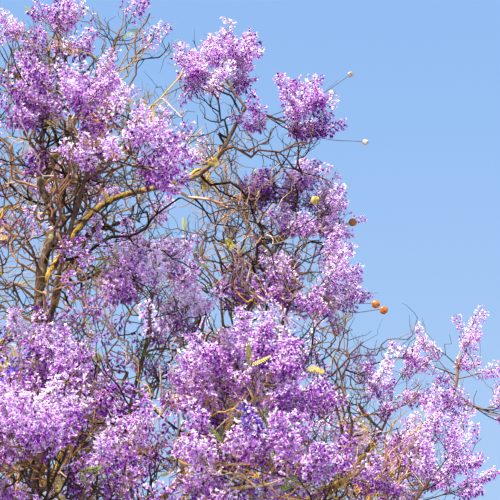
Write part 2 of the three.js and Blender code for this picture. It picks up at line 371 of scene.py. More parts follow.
# %% Paths
class Path:
    """Points with radii, from a first place to a tip, on a smooth curve through a few bends."""

    def __init__(self, bends, steps, thickness):
        self.bends = bends
        self.thickness = thickness
        self.points = smoothed(bends, steps)
        self.radii = np.array([thickness(k / steps) for k in range(steps + 1)])

    def finer(self, steps):
        return Path(self.bends, steps, self.thickness)

    def at(self, share):
        """The point, radius and way at a share of the path."""
        place = share * (len(self.points) - 1)
        i = min(int(place), len(self.points) - 2)
        point = mixed(self.points[i], self.points[i + 1], place - i)
        radius = mixed(self.radii[i], self.radii[i + 1], place - i)
        return point, radius, unit(self.points[i + 1] - self.points[i])


trial = Path(np.outer(np.arange(3.0), UP), 8, lambda share: 1 - share)
print("half way up a trial path of 2 m:", round(float(trial.at(0.5)[0][2]), 3), "m")

# %% [markdown]
# ## Trunk, limbs and boughs
#
# Each row of the first table is a limb that shows: what it springs from and where, its tip, the fork
# there, the size of its masses and how much of them is in bloom. A fork is a turn about the limb and a
# tilt for each mass, in degrees. The far side of the crown is out of view, and follows by rule from two
# tiers. A limb is as thick as its load asks: the square of its radius goes with the number of masses
# beyond it, which is how real trees keep their wood from fork to fork.

# %% Sizes of trunk and limbs
TRUNK_TOP = np.array([-0.38, 0.02, 2.35])
TRUNK_RISE = 0.3
TRUNK_LEAN = np.array([0.95, -2.0, 0.66])
TRUNK_RADIUS = 0.125
TRUNK_TOP_RADIUS = 0.088
TRUNK_TAPER = 0.8
TRUNK_STEPS = 12
FOOT_CROWDING = 1.35
FLARE_RADIUS = 0.095
FLARE_HEIGHT = 0.19
FLARE_LOBES = 5
FLARE_LOBE_DEPTH = 0.16
RING_STEP = 0.3
FEWEST_RINGS = 3
BEND_STEP = 0.62
FEWEST_BENDS = 2
TIP_RADIUS = 0.012
PIPE_RADIUS = 0.017
STOUTEST = 0.86
LIMB_TAPER = 0.85
LIMB_LEAN = 0.35
LIMB_LIFT = 0.42
COLLAR = 1.3
CROOK = 0.06

SHOWN = [
    ["leader", "trunk", 0.98, [-0.1, 0.13, 6.42], [-160, 10, 85], 0.74, 1],
    ["diagonal_bough", "leader", 0.58, [1.32, 0, 6.24], [-5, -60, 85], 0.62, 1],
    ["crest_bough", "leader", 0.82, [0.31, 0.35, 6.71], [0, 0], 0.6, 0.3],
    ["upper_front_bough", "leader", 0.44, [0.32, -1, 5.54], [25, -50, 85], 0.74, 1],
    ["upper_back_bough", "leader", 0.5, [0.14, 1.21, 5.71], [-65, 90, -25], 0.8, 0.8],
    ["right_limb", "trunk", 0.86, [1.64, 0.3, 4.9], [-70, -85, 85], 0.7, 1],
    ["shoulder_bough", "right_limb", 0.62, [1.6, 0.4, 5.46], [-60, -15, 85], 0.54, 1],
    ["low_right_limb", "trunk", 0.74, [2.7, -0.23, 4.06], [-40, -25, 85], 0.68, 0.9],
    ["slender_bough", "low_right_limb", 0.6, [2.26, 0.18, 3.94], [-160, 15, 85], 0.64, 0.8],
    ["low_front_bough", "low_right_limb", 0.4, [2.25, -0.76, 3.14], [0, 0], 0.86, 1],
    ["front_right_limb", "trunk", 0.8, [1.18, -1.1, 3.5], [-25, -5, 70], 1, 1],
    ["inner_bough", "front_right_limb", 0.45, [0.66, -0.42, 4.43], [0, 0], 0.74, 1],
    ["front_left_limb", "trunk", 0.9, [0.08, -1.33, 3.47], [-25, -30, 70], 1, 1],
    ["skirt_bough", "front_left_limb", 0.5, [0.25, -1.39, 2.95], [0, 0], 1, 1],
    ["back_right_limb", "trunk", 0.83, [1.51, 1.65, 3.95], [155, -75, 40], 1.05, 1],
    ["back_limb", "trunk", 0.77, [-0.39, 2.01, 4.13], [100, -85, 10], 1.1, 1],
]
print(len(SHOWN), "limbs show")

# %% Limbs of the far side
FAR_TIERS = [
    {"name": "far_low", "from": "trunk", "at": 0.8, "count": 3, "arc": (130, 226), "tip": (2.25, 3.65)},
    {"name": "far_high", "from": "leader", "at": 0.34, "count": 2, "arc": (150, 230), "tip": (1.45, 5.15)},
]
FAR_STEP = 0.05
FAR_SIZE = 1.15
FAR_RISE = 0.16
FAR_TWIST = 35
FAR_SPREAD = 50


def far_rows():
    rows = []
    for tier in FAR_TIERS:
        reach, height = tier["tip"]
        for i in range(tier["count"]):
            bearing = math.radians(mixed(*tier["arc"], i / (tier["count"] - 1)))
            tip = [reach * math.cos(bearing), reach * math.sin(bearing), height + FAR_RISE * (i % 2)]
            fork = [FAR_TWIST * (i + 1), -FAR_SPREAD, FAR_SPREAD]
            name = f"{tier['name']}_{i + 1}"
            rows.append([name, tier["from"], tier["at"] + FAR_STEP * i, tip, fork, FAR_SIZE, 1])
    return rows


print(len(far_rows()), "more by rule")


# %% Paths of trunk and limbs
def trunk_path(steps):
    """The trunk's points and radii: it leans a little, and flares at its foot."""
    height = TRUNK_TOP[2]
    first, second = np.array([0, 0, height * TRUNK_RISE]), TRUNK_TOP * TRUNK_LEAN
    t = (np.linspace(0, 1, steps + 1) ** FOOT_CROWDING)[:, None]
    points = 3 * (1 - t) ** 2 * t * first + 3 * (1 - t) * t**2 * second + t**3 * TRUNK_TOP
    rise = points[:, 2]
    radii = TRUNK_RADIUS + (TRUNK_TOP_RADIUS - TRUNK_RADIUS) * (rise / height) ** TRUNK_TAPER
    path = Path(points[:2], 1, lambda share: 0.0)
    path.points, path.radii = points, radii + FLARE_RADIUS * np.exp(-rise / FLARE_HEIGHT)
    return path


def carried(name, rows):
    """How many masses a limb carries, with those of the boughs on it."""
    own = sum(len(fork) - 1 for limb, _, _, _, fork, *_ in rows if limb == name)
    return own + sum(carried(limb, rows) for limb, source, *_ in rows if source == name)


def limb_thickness(base):
    """Thickness from a base, with a collar there, to the tip."""
    return lambda share: mixed(TIP_RADIUS, base, (1 - share) ** LIMB_TAPER) * (1 if share else COLLAR)


def make_limbs(rows):
    limbs = {"trunk": {"name": "trunk", "path": trunk_path(TRUNK_STEPS)}}
    for number, (name, source, at, tip, fork, size, bloom) in enumerate(rows):
        point, radius, way = limbs[source]["path"].at(at)
        tip = np.array(tip, dtype=float)
        out = unit(tip - point)
        leave = unit(mixed(out, UP if source == "trunk" else way, LIMB_LEAN))
        arrive = unit(mixed(out, UP, LIMB_LIFT))
        span = math.dist(point, tip)
        bends = max(FEWEST_BENDS, round(span / BEND_STEP))
        curve = crooked_bends(point, leave, tip, arrive, bends, CROOK, draws(number + 1))
        base = min(PIPE_RADIUS * math.sqrt(carried(name, rows)), radius * STOUTEST)
        path = Path(curve, max(FEWEST_RINGS, round(span / RING_STEP)), limb_thickness(base))
        limbs[name] = {"name": name, "path": path, "arrive": arrive, "fork": fork, "size": size}
        limbs[name].update(bloom=bloom, source=source, span=span)
    return limbs


limbs = make_limbs(SHOWN + far_rows())
print(len(limbs), "limbs with the trunk")

# %% [markdown]
# ## Masses of blossom
#
# A mass is the head of a bough: one stem, and twigs that leave it at the golden turn, each ending where
# flower heads stand. It could be one round cloud of flowers, but real ones are clumps of clumps with sky
# between. Every mass keeps to its own space, which flat walls part from its neighbours, and a twig that
# would touch a limb is drawn again. This part is the rule of the solids, value for value, so the finer
# wood and the flowers later stand exactly where the solids say.

# %% Stems
MASS_RADIUS = 0.5
SEAT = 0.86
SEAT_GAP = 0.04
STEM_SEED = 100
STEM_BENDS = 2
STEM_CROOK = 0.05
STEM_STARTS = {"single": 0.95, "forked": 0.8}
STEM_END = 0.008
STEM_LEAN = 0.75
STEM_LIFT = 0.3


def make_stem(tip, arrive, way, centre, start, seed):
    """A stem from a limb's tip to the centre of a mass."""
    leave, end = unit(mixed(arrive, way, STEM_LEAN)), unit(mixed(way, UP, STEM_LIFT))
    curve = crooked_bends(tip, leave, centre, end, STEM_BENDS, STEM_CROOK, draws(seed))
    return Path(curve, STEM_BENDS, lambda share: mixed(start, STEM_END, share))


def make_masses(limbs):
    masses = []
    for limb in list(limbs.values())[1:]:
        tip, arrive = limb["path"].points[-1], limb["arrive"]
        turn, *tilts = [math.radians(angle) for angle in limb["fork"]]
        side = turned(unit(np.cross(UP, arrive)), arrive, turn)
        radius = MASS_RADIUS * limb["size"]
        start = TIP_RADIUS * STEM_STARTS["forked" if len(tilts) > 1 else "single"]
        for i, tilt in enumerate(tilts):
            way = turned(arrive, side, tilt)
            centre = tip + way * (radius * SEAT + SEAT_GAP)
            number = len(masses)
            mass = {"name": f"{limb['name']}_{i + 1}", "limb": limb, "number": number}
            mass.update(way=way, radius=radius, centre=centre)
            mass["stem"] = make_stem(tip, arrive, way, centre, start, STEM_SEED + number)
            masses.append(mass)
    return masses


masses = make_masses(limbs)
print(len(masses), "masses, up to", max(mass["radius"] for mass in masses) * 2, "m across")

# %% Room
SAMPLE_STEP = 0.04
KEEP_OFF = 0.022
WALL_GAP = 0.001


def samples_of(path):
    """Points with radii all along a path, for telling whether a twig would touch it."""
    points, radii = [], []
    for i in range(len(path.points) - 1):
        a, b = path.points[i], path.points[i + 1]
        count = max(1, math.ceil(math.dist(a, b) / SAMPLE_STEP))
        share = np.arange(count)[:, None] / count
        points.append(mixed(a, b, share))
        radii.append(mixed(path.radii[i], path.radii[i + 1], share[:, 0]))
    return np.vstack([*points, path.points[-1:]]), np.concatenate([*radii, path.radii[-1:]])


class Room:
    """Tells whether samples lie in a mass's own space, clear of every limb and every other stem."""

    def __init__(self, limbs, masses):
        self.centres = np.array([mass["centre"] for mass in masses])
        self.sizes = np.array([mass["radius"] for mass in masses])
        lots = [(*samples_of(limb["path"]), -1) for limb in limbs.values()]
        lots += [(*samples_of(mass["stem"]), mass["number"]) for mass in masses]
        self.points = np.vstack([points for points, _, _ in lots])
        self.radii = np.concatenate([radii for _, radii, _ in lots])
        self.owners = np.concatenate([np.full(len(radii), owner) for _, radii, owner in lots])

    def holds(self, points, radii, mass):
        """Whether samples are on the mass's side of all its walls."""
        others = np.arange(len(self.centres)) != mass["number"]
        gap = np.linalg.norm(self.centres[others] - mass["centre"], axis=1)
        far = ((points[:, None] - self.centres[others]) ** 2).sum(2) - self.sizes[others] ** 2
        near = ((points - mass["centre"]) ** 2).sum(1) - mass["radius"] ** 2
        return ((far - near[:, None]) / (2 * gap) > radii[:, None] + WALL_GAP).all()

    def is_free(self, points, radii, mass):
        if not self.holds(points, radii, mass):
            return False
        foreign = self.owners != mass["number"]
        distance = np.linalg.norm(points[:, None] - self.points[foreign], axis=2)
        return bool((distance > self.radii[foreign] + radii[:, None] + KEEP_OFF).all())


room = Room(limbs, masses)
print(len(room.points), "samples of wood to keep clear of")

# %% Twigs and heads
GOLDEN_TURN = math.pi * (3 - math.sqrt(5))
MASS_FLATNESS = 0.74
TURN_WAVER = 0.6
HEAD_SPAN = 1.5
HEAD_REACH = (0.54, 0.38)
HEAD_LENGTH = 0.29
HEAD_RADIUS = 0.136
TWIG_LEAN = 0.4
TWIG_LIFT = 0.45
TWIG_BENDS = 2
TWIG_CROOK = 0.07
TWIG_END = 0.0026


def grown(pair, share):
    """The first of two numbers, with a share of the second added."""
    return pair[0] + pair[1] * share


def head_place(mass, i, count, draw):
    """The place of head i: spread by the golden turn over the mass's upper and outer face."""
    lift = 1 - HEAD_SPAN * (i + 0.5) / count
    turn = i * GOLDEN_TURN + draw() * TURN_WAVER
    flat = math.sqrt(1 - lift * lift)
    reach = mass["radius"] * grown(HEAD_REACH, math.sqrt(draw()))
    place = np.array([math.cos(turn) * flat, math.sin(turn) * flat, lift * MASS_FLATNESS])
    return mass["centre"] + place * reach


def twig_path(mass, at, place, radius, draw):
    """A twig from a share of the mass's stem to a place, turned upwards at its end."""
    foot, _, way = mass["stem"].at(at)
    out = unit(place - foot)
    leave, arrive = unit(mixed(out, way, TWIG_LEAN)), unit(mixed(out, UP, TWIG_LIFT))
    curve = crooked_bends(foot, leave, place, arrive, TWIG_BENDS, TWIG_CROOK, draw)
    return Path(curve, TWIG_BENDS, lambda share: mixed(radius, TWIG_END, share)), arrive


def head_corners(place, way, size):
    """The six corners of the spindle that stands for a head."""
    axis, angle = np.cross(UP, way), math.acos(max(-1.0, min(1.0, float(way @ UP))))
    axis = unit(axis) if axis @ axis > 1e-12 else EAST
    sides = [turned(side, axis, angle) * HEAD_RADIUS for side in (EAST, np.cross(UP, EAST))]
    arms = np.array([*sides, way * HEAD_LENGTH / 2]) * size
    return np.vstack([place + arms, place - arms])


print("heads of", HEAD_LENGTH, "m, about", round(math.degrees(GOLDEN_TURN)), "degrees apart")

# %% [markdown]
# ## Growing the masses
#
# Heads come first, then the bare twig, then the pods, in the order in which the solids draw them. A twig
# gets four tries at a free place and is left out after that, which gives the gaps of a real crown. Twigs
# could be pushed aside instead, but then they would bunch up at the walls.

# %% Tries at a twig
HEADS = 7
BARE_TWIGS = 1
BARE_REACH = 1.3
TRIES = 4
TWIG_SEED = 1000
TWIG_RADIUS = 0.0048
FIRST_TWIG = 0.94
TWIG_SPAN = 0.62
COUNT_BY_LIMB = (0.55, 0.45)
SIZE_BY_LIMB = (0.6, 0.4)
HEAD_SIZES = (0.8, 0.35)
HEAD_OUTWARD = 0.4
HEAD_ROOM = 0.85
BUD_SIZE = 0.45


def try_twig(mass, i, count, draw):
    """A try at twig i, a head's or a bare one. Gives nothing where it would touch something."""
    is_head = i < count
    place = head_place(mass, i if is_head else 1, count, draw)
    if not is_head:
        place = mass["centre"] + (place - mass["centre"]) * BARE_REACH
    at = FIRST_TWIG - TWIG_SPAN * i / (count + BARE_TWIGS)
    twig, arrive = twig_path(mass, at, place, TWIG_RADIUS, draw)
    size = grown(HEAD_SIZES, draw()) * grown(SIZE_BY_LIMB, mass["limb"]["size"])
    way = unit(mixed(arrive, unit(place - mass["centre"]), HEAD_OUTWARD))
    blooms = draw() < mass["limb"]["bloom"]
    points, radii = samples_of(twig)
    made = {"twig": twig, "place": place, "way": way, "size": size, "blooms": blooms}
    if is_head:
        made["corners"] = head_corners(place, way, size if blooms else size * BUD_SIZE)
        points = np.vstack([points, made["corners"], place])
        radii = np.concatenate([radii, np.zeros(len(made["corners"])), [HEAD_RADIUS * size * HEAD_ROOM]])
    return made if room.is_free(points, radii, mass) else None


print("a mass has", HEADS, "heads and", BARE_TWIGS, "bare twig, with", TRIES, "tries for each")

# %% [markdown]
# Pods hang at the ends of last year's stalks, so they stand out beyond the blossom. Each row gives a pod's
# mass, its bearing and lift from the middle of that mass in degrees, how far out it hangs as a share of the
# mass's radius, and its tint.

# %% Growing the masses
POD_RADIUS = 0.028
POD_STALK = 0.003
POD_FOOT = 0.6
PODS = [
    ("right_limb_2", -6, -14, 1.16, "ripe"),
    ("right_limb_2", 4, -15, 1.34, "ripe"),
    ("shoulder_bough_2", 0, 0, 0.94, "ripe"),
    ("shoulder_bough_2", -90, 20, 0.9, "unripe"),
    ("diagonal_bough_2", 6, 39, 1.9, "dry"),
    ("diagonal_bough_2", -8, -17, 1.84, "dry"),
    ("far_low_2_1", 160, -20, 1.1, "old"),
    ("back_limb_1", 70, -10, 1.1, "old"),
]


def make_pod(mass, bearing, lift, reach, tint, draw):
    turn, rise = math.radians(bearing), math.radians(lift)
    way = unit(np.array([math.cos(turn), math.sin(turn), math.tan(rise)]))
    place = mass["centre"] + way * mass["radius"] * reach
    stalk, _ = twig_path(mass, POD_FOOT, place, POD_STALK, draw)
    return {"stalk": stalk, "place": place, "way": way, "tint": tint}


def grow_mass(mass):
    """The mass's heads, its bare twigs and its pods, by the rule of the solids."""
    draw = draws(TWIG_SEED + mass["number"])
    count = round(HEADS * grown(COUNT_BY_LIMB, mass["limb"]["size"]))
    mass.update(heads=[], bare=[])
    for i in range(count + BARE_TWIGS):
        for _ in range(TRIES):
            made = try_twig(mass, i, count, draw)
            if made:
                mass["heads" if i < count else "bare"].append(made)
                break
    mass["pods"] = [make_pod(mass, *values, draw) for name, *values in PODS if name == mass["name"]]


for mass in masses:
    grow_mass(mass)
for kind in ("heads", "bare", "pods"):
    print(sum(len(mass[kind]) for mass in masses), kind)

# %% [markdown]
# ## Bark on trunk and limbs
#
# Jacaranda bark is thin, grey-brown and finely furrowed along the limb, with yellow lichen on the upper
# side of old boughs. A curve with a round profile would be quicker, but it can't swell, so each limb is a
# loft of rings along its path. Relief comes in two sizes: swellings and old twig scars are real shape,
# moved vertex by vertex, and the furrows are bump. The pattern reads an attribute that is wrapped round
# the limb and stretched along it, so it has no seam anywhere.

# %% Relief
STEEP = 0.9
BROAD_WAVES = 2.6
BROAD_RELIEF = 0.07
LUMP_WAVES = 9.0
LUMPS_ROUND = 2.2
LUMP_RELIEF = 0.1
LUMPY_GIRTH = 0.03


def sides_along(points):
    """Two side axes for each point of a path, carried on without twist."""
    before, after = np.vstack([points[:1], points[:-1]]), np.vstack([points[1:], points[-1:]])
    tangents = after - before
    tangents /= np.linalg.norm(tangents, axis=1)[:, None]
    side = EAST if abs(tangents[0][2]) > STEEP else UP
    sides = []
    for tangent in tangents:
        side = unit(side - tangent * float(side @ tangent))
        sides.append(side)
    sides = np.array(sides)
    return sides, np.cross(tangents, sides)


def swelling(point, way, girth, seed):
    """How far the bark stands out at a point, as a share of the limb's radius."""
    broad = noise.noise(Vector(point * BROAD_WAVES) + Vector((seed, 0, 0)))
    lumps = noise.noise(Vector(point * LUMP_WAVES + way * LUMPS_ROUND) + Vector((0, seed, 0)))
    return BROAD_RELIEF * broad + LUMP_RELIEF * lumps * min(1.0, girth / LUMPY_GIRTH)


print("bark swells by at most", BROAD_RELIEF + LUMP_RELIEF, "of a limb's radius")

# %% Lofts
RING_GAP = 0.03
GRAIN_STRETCH = 0.22
VALUE_TYPES = {"INT": np.int32, "FLOAT": np.float32, "FLOAT_VECTOR": np.float32}


def set_values(mesh, name, kind, values, domain="POINT"):
    """Gives a mesh a named value for each point or face, for materials and nodes to read."""
    field = "vector" if kind == "FLOAT_VECTOR" else "value"
    flat = np.ravel(values).astype(VALUE_TYPES[kind])
    mesh.attributes.new(name, kind, domain).data.foreach_set(field, flat)


def tube_faces(rings, sides):
    """The faces of a closed tube: its wall, and a cap at each end."""
    faces = []
    for i in range(rings - 1):
        for k in range(sides):
            n = (k + 1) % sides
            faces.append((i * sides + k, i * sides + n, (i + 1) * sides + n, (i + 1) * sides + k))
    return [*faces, tuple(reversed(range(sides))), tuple(range((rings - 1) * sides, rings * sides))]


def loft(name, path, sides, lichen, lobe=None, seed=0.0):
    """A closed tube along a path with relief, and the values that its bark reads."""
    side, other = sides_along(path.points)
    length = np.concatenate([[0], np.cumsum(np.linalg.norm(np.diff(path.points, axis=0), axis=1))])
    places, grain = [], []
    for i, (point, radius) in enumerate(zip(path.points, path.radii)):
        for turn in np.arange(sides) / sides * 2 * math.pi:
            way = side[i] * math.cos(turn) + other[i] * math.sin(turn)
            girth = radius * (lobe(turn, point[2]) if lobe else 1)
            girth *= 1 + swelling(point, way, radius, seed)
            place = point + way * girth
            if lobe and i == 0:
                place[2] = 0.0
            places.append(place)
            round_limb = (math.cos(turn) * radius, math.sin(turn) * radius)
            grain.append((*round_limb, length[i] * GRAIN_STRETCH + seed))
    mesh = bpy.data.meshes.new(name)
    mesh.from_pydata(places, [], tube_faces(len(path.points), sides))
    set_values(mesh, "grain", "FLOAT_VECTOR", grain)
    set_values(mesh, "girth", "FLOAT", np.repeat(path.radii, sides))
    set_values(mesh, "lichen", "FLOAT", np.full(len(places), lichen))
    mesh.shade_smooth()
    return mesh


print("a tube of 3 rings with 4 sides has", len(tube_faces(3, 4)), "faces")

# %% [markdown]
# ## What bark looks like
#
# Dark furrows run between warmer ridges, which weather to grey in blotches. Pale lichen grows in crusts on
# stout wood, and yellow lichen on sides that face up and get the light. These could be painted from a
# picture, but noise of four sizes gives them without one. Each is a mask, and its two numbers say
# where its noise starts to count and where it counts in full. Limbs that carry more lichen or less say
# so in a value of their own. The grey shows only where that value is high, so the leader keeps a dark
# brown bark, which is partly painted shade.

# %% Bark material
DARK_BARK = colour(62, 45, 36)
MID_BARK = colour(108, 82, 62)
GREY_BARK = colour(142, 126, 110)
YELLOW_LICHEN = colour(204, 160, 44)
OLIVE_LICHEN = colour(112, 96, 44)
PALE_LICHEN = colour(186, 176, 128)
USUAL_LICHEN = 0.6
FURROW_WAVES = 150.0
BLOTCH_WAVES = 4.0
CRUST_WAVES = 22.0
SPECK_WAVES = 75.0
BARK_DEPTH = 0.006


def read(graph, name, output):
    """A mesh's own value in its material. Output 1 gives vectors, and output 2 numbers."""
    return graph.node("ShaderNodeAttribute", {"attribute_name": name}, output=output)


def emboss(graph, shader, height, strength, depth):
    """Lets a pattern stand out as bump, so deep in metres."""
    bump = graph.node("ShaderNodeBump", {}, {"Strength": strength, "Distance": depth, "Height": height})
    graph.feed(shader, "Normal", bump)


def bark_material():
    material, graph, shader = new_material("bark", roughness=0.85, specular=0.2)
    place, girth, lichen = graph.place(), read(graph, "girth", 2), read(graph, "lichen", 2)
    furrows = graph.noise(read(graph, "grain", 1), FURROW_WAVES, detail=5.0)
    blotches = graph.noise(place, BLOTCH_WAVES, detail=4.0)
    crust = graph.noise(place, CRUST_WAVES, detail=6.0)
    specks = graph.noise(place, SPECK_WAVES, detail=3.0)
    normal = graph.node("ShaderNodeNewGeometry", output=1)
    upward = graph.node("ShaderNodeSeparateXYZ", {}, {"Vector": normal}, output=2)
    shade = graph.mix(furrows.over(0.36, 0.62), DARK_BARK, MID_BARK)
    # Grey only where the lichen value is high: the leader's dark bark is partly painted shade.
    grey = blotches.over(0.48, 0.7) * furrows.over(0.4, 0.6) * lichen.over(-0.2, 0.6)
    shade = graph.mix(grey, shade, GREY_BARK)
    pale = crust.over(0.5, 0.62) * blotches.over(0.4, 0.6) * girth.over(0.012, 0.02) * 0.7
    shade = graph.mix(pale, shade, PALE_LICHEN)
    more = lichen - USUAL_LICHEN
    yellow = (crust + upward * 0.16 + more * 0.06).over(0.5, 0.58) * girth.over(0.014, 0.024)
    yellow = yellow * (1 - blotches + more * 0.12).over(0.42, 0.56) * lichen.over(0.0, 1.0)
    shade = graph.mix(yellow, shade, graph.mix(specks.over(0.36, 0.48), OLIVE_LICHEN, YELLOW_LICHEN))
    graph.feed(shader, "Base Color", shade)
    emboss(graph, shader, furrows * 0.7 + crust * 0.3, strength=0.8, depth=BARK_DEPTH)
    return material


bark = bark_material()
print("bark is made of", len(bark.node_tree.nodes), "nodes")

# %% [markdown]
# ## Dressed trunk and limbs
#
# The trunk spreads at its foot into a few lobes, where the roots go down, and needs the most sides to show
# them. Limbs get fewer. Each finished piece is then marked with what carries it, and the solids it stands
# for are hidden. One helper does that for every piece of the tree.

# %% Dressed trunk and limbs
TRUNK_RINGS = 90
TRUNK_SIDES = 48
STOUT_SIDES = 16
SLENDER_SIDES = 12
STOUT_RADIUS = 0.04
LOBE_RISE = 1.6
SEED_STEP = 3.7
# A low value also keeps the grey off: on the leader that dark bark is partly painted shade.
LICHEN_AND_SHADE = {
    "leader": 0.15,
    "crest_bough": 0.1,
    "diagonal_bough": 1.5,
    "front_left_limb": 1.2,
    "skirt_bough": 1.2,
}


def flare_lobe(turn, height):
    fade = math.exp(-height / (LOBE_RISE * FLARE_HEIGHT))
    return 1 + FLARE_LOBE_DEPTH * math.cos(FLARE_LOBES * turn) * fade


def hand_over(piece, nodes):
    """Marks a finished piece with what carries it, and hides the solids that it replaces."""
    piece.data.name = piece.name
    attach(piece, "root")
    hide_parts(*nodes)


def triangles_of(piece):
    return sum(len(face.vertices) - 2 for face in piece.data.polygons)


def make_bark():
    total = 0
    for number, limb in enumerate(limbs.values()):
        name, path = limb["name"], limb["path"]
        if name == "trunk":
            mesh = loft("trunk_bark", trunk_path(TRUNK_RINGS), TRUNK_SIDES, USUAL_LICHEN, flare_lobe)
        else:
            sides = STOUT_SIDES if path.radii[0] > STOUT_RADIUS else SLENDER_SIDES
            path = path.finer(round(limb["span"] / RING_GAP))
            lichen = LICHEN_AND_SHADE.get(name, USUAL_LICHEN)
            mesh = loft(f"{name}_bark", path, sides, lichen, seed=number * SEED_STEP)
        mesh.materials.append(bark)
        piece = placed(mesh.name, mesh)
        hand_over(piece, [name])
        total += triangles_of(piece)
    return total


print(make_bark(), "triangles of bark")

# %% [markdown]
# ## Geometry Nodes trees
#
# Twigs and flowers come in thousands, and all follow one shape, so two small trees of nodes make them.
# One turns lines into tubes. The other sets a copy of a small mesh on each of many points, turned by the
# point's own values. Live modifiers and instances don't travel to other programs, so both trees end in
# real copies with their materials set, and what they make is kept as a plain mesh.


# %% Trees and how to run them
def open_tree(name, sizes):
    """A tree that takes a geometry and named sizes, given as name: kind. Gives its graph and inputs."""
    tree = bpy.data.node_groups.new(name, "GeometryNodeTree")
    tree.interface.new_socket("Geometry", in_out="INPUT", socket_type="NodeSocketGeometry")
    for label, kind in sizes.items():
        tree.interface.new_socket(label, in_out="INPUT", socket_type=f"NodeSocket{kind}")
    tree.interface.new_socket("Geometry", in_out="OUTPUT", socket_type="NodeSocketGeometry")
    graph = Graph(tree)
    entry = tree.nodes.new("NodeGroupInput")
    return graph, {socket.name: Socket(graph, socket) for socket in entry.outputs if socket.name}


def close_tree(graph, geometry):
    graph.feed(graph.tree.nodes.new("NodeGroupOutput"), "Geometry", geometry)
    return graph.tree


def run_tree(name, mesh, tree, sizes):
    """A plain object with the mesh that the tree makes of this one."""
    piece = placed(name, mesh)
    modifier = piece.modifiers.new("growth", "NODES")
    modifier.node_group = tree
    for socket in tree.interface.items_tree:
        if socket.name in sizes:
            modifier[socket.identifier] = sizes[socket.name]
    made = bpy.data.meshes.new_from_object(piece.evaluated_get(bpy.context.evaluated_depsgraph_get()))
    piece.modifiers.clear()
    piece.data = made
    return piece


print("a tree runs on a mesh of its own, and its result replaces that mesh")

# %% Reading values and setting materials
NEAR_ENOUGH = 0.1


def attribute(graph, name, kind):
    return graph.node("GeometryNodeInputNamedAttribute", {"data_type": kind}, {"Name": name})


def painted(graph, geometry, number, materials):
    """Sets one of several materials on each face, by a number that counts them from 0."""
    for i, material in enumerate(materials):
        values = {0: number, 1: float(i), 12: NEAR_ENOUGH}
        chosen = graph.node("FunctionNodeCompare", {"operation": "EQUAL"}, values)
        inputs = {"Geometry": geometry, "Selection": chosen, "Material": material}
        geometry = graph.node("GeometryNodeSetMaterial", {}, inputs)
    return geometry


print("numbers within", NEAR_ENOUGH, "of each other count as one")

# %% Lines into tubes
# The dark and pale tones are partly the twigs' own colour and partly painted shade and painted sunlight,
# dealt out twig by twig.
TWIG_TONES = {
    "dark_twig": colour(42, 26, 20),
    "brown_twig": colour(112, 78, 56),
    "tan_twig": colour(180, 140, 104),
    "ochre_twig": colour(186, 144, 56),
    "pale_twig": colour(200, 170, 142),
    "green_stalk": colour(126, 118, 78),
}


def tube_tree(materials):
    graph, inputs = open_tree("tubes", {"Sides": "Int"})
    curve = graph.node("GeometryNodeMeshToCurve", {}, {"Mesh": inputs["Geometry"]})
    profile = {"Resolution": inputs["Sides"], "Radius": 1.0}
    circle = graph.node("GeometryNodeCurvePrimitiveCircle", {}, profile)
    thickness = attribute(graph, "thickness", "FLOAT")
    parts = {"Curve": curve, "Profile Curve": circle, "Scale": thickness, "Fill Caps": True}
    made = graph.node("GeometryNodeCurveToMesh", {}, parts)
    made = graph.node("GeometryNodeRealizeInstances", {}, {"Geometry": made})
    return close_tree(graph, painted(graph, made, attribute(graph, "tone", "INT"), materials))


twig_materials = [plain_material(name, shade, roughness=0.8) for name, shade in TWIG_TONES.items()]
tubes = tube_tree(twig_materials)
print("tree of nodes:", tubes.name, "with", len(tubes.nodes), "nodes")


# %% Wood
class Wood:
    """Paths with a tone, kept until they are all made into tubes in one go."""

    def __init__(self):
        self.points, self.thickness, self.tones, self.edges = [], [], [], []
        self.count = 0

    def add(self, path, tone):
        size = len(path.points)
        self.points.append(path.points)
        self.thickness.append(path.radii)
        self.tones.append(np.full(size, list(TWIG_TONES).index(tone)))
        first = np.arange(self.count, self.count + size - 1)
        self.edges.append(np.stack([first, first + 1], axis=1))
        self.count += size

    def made(self, name, sides):
        mesh = bpy.data.meshes.new(name)
        mesh.from_pydata(np.vstack(self.points), np.vstack(self.edges), [])
        set_values(mesh, "thickness", "FLOAT", np.concatenate(self.thickness))
        set_values(mesh, "tone", "INT", np.concatenate(self.tones))
        return run_tree(name, mesh, tubes, {"Sides": sides})


print("wood comes in", len(TWIG_TONES), "tones")

# %% [markdown]
# ## The room that twigs keep to
#
# From afar a crown is known by its outline and by the sky in its gaps. Twigs that end anywhere would
# blur both, so no tip may leave the hull of the flower heads or stray far from the nearest mass. A hull
# could be drawn round the masses, but the heads themselves are what the solids have, so it is theirs.


# %% Reach
class Reach:
    """The room that twigs keep to: inside the hull of all heads, and near a mass or behind it."""

    def __init__(self, points, masses):
        self.centres = np.array([mass["centre"] for mass in masses])
        self.radii = np.array([mass["radius"] for mass in masses])
        shape = bmesh.new()
        for point in points:
            shape.verts.new(point)
        bmesh.ops.convex_hull(shape, input=shape.verts)
        shape.normal_update()
        self.normals = np.array([face.normal[:] for face in shape.faces])
        self.heights = np.array([face.normal.dot(face.verts[0].co) for face in shape.faces])
        shape.free()

    def depth(self, points):
        """How far inside the hull a point lies, or each of several: negative outside it."""
        return (self.heights - points @ self.normals.T).min(axis=-1)

    def holds(self, point, stray):
        """Whether a point is in the hull, near enough to a mass and no further out than that mass."""
        gaps = np.linalg.norm(self.centres - point, axis=1) - self.radii
        near = gaps.argmin()
        outward = math.hypot(point[0], point[1]) - math.hypot(*self.centres[near][:2])
        return gaps[near] < stray and outward < self.radii[near] and self.depth(point) > 0


corners = [corner for mass in masses for head in mass["heads"] for corner in head["corners"]]
crown_reach = Reach(corners, masses)
print("hull of the heads has", len(crown_reach.heights), "faces")

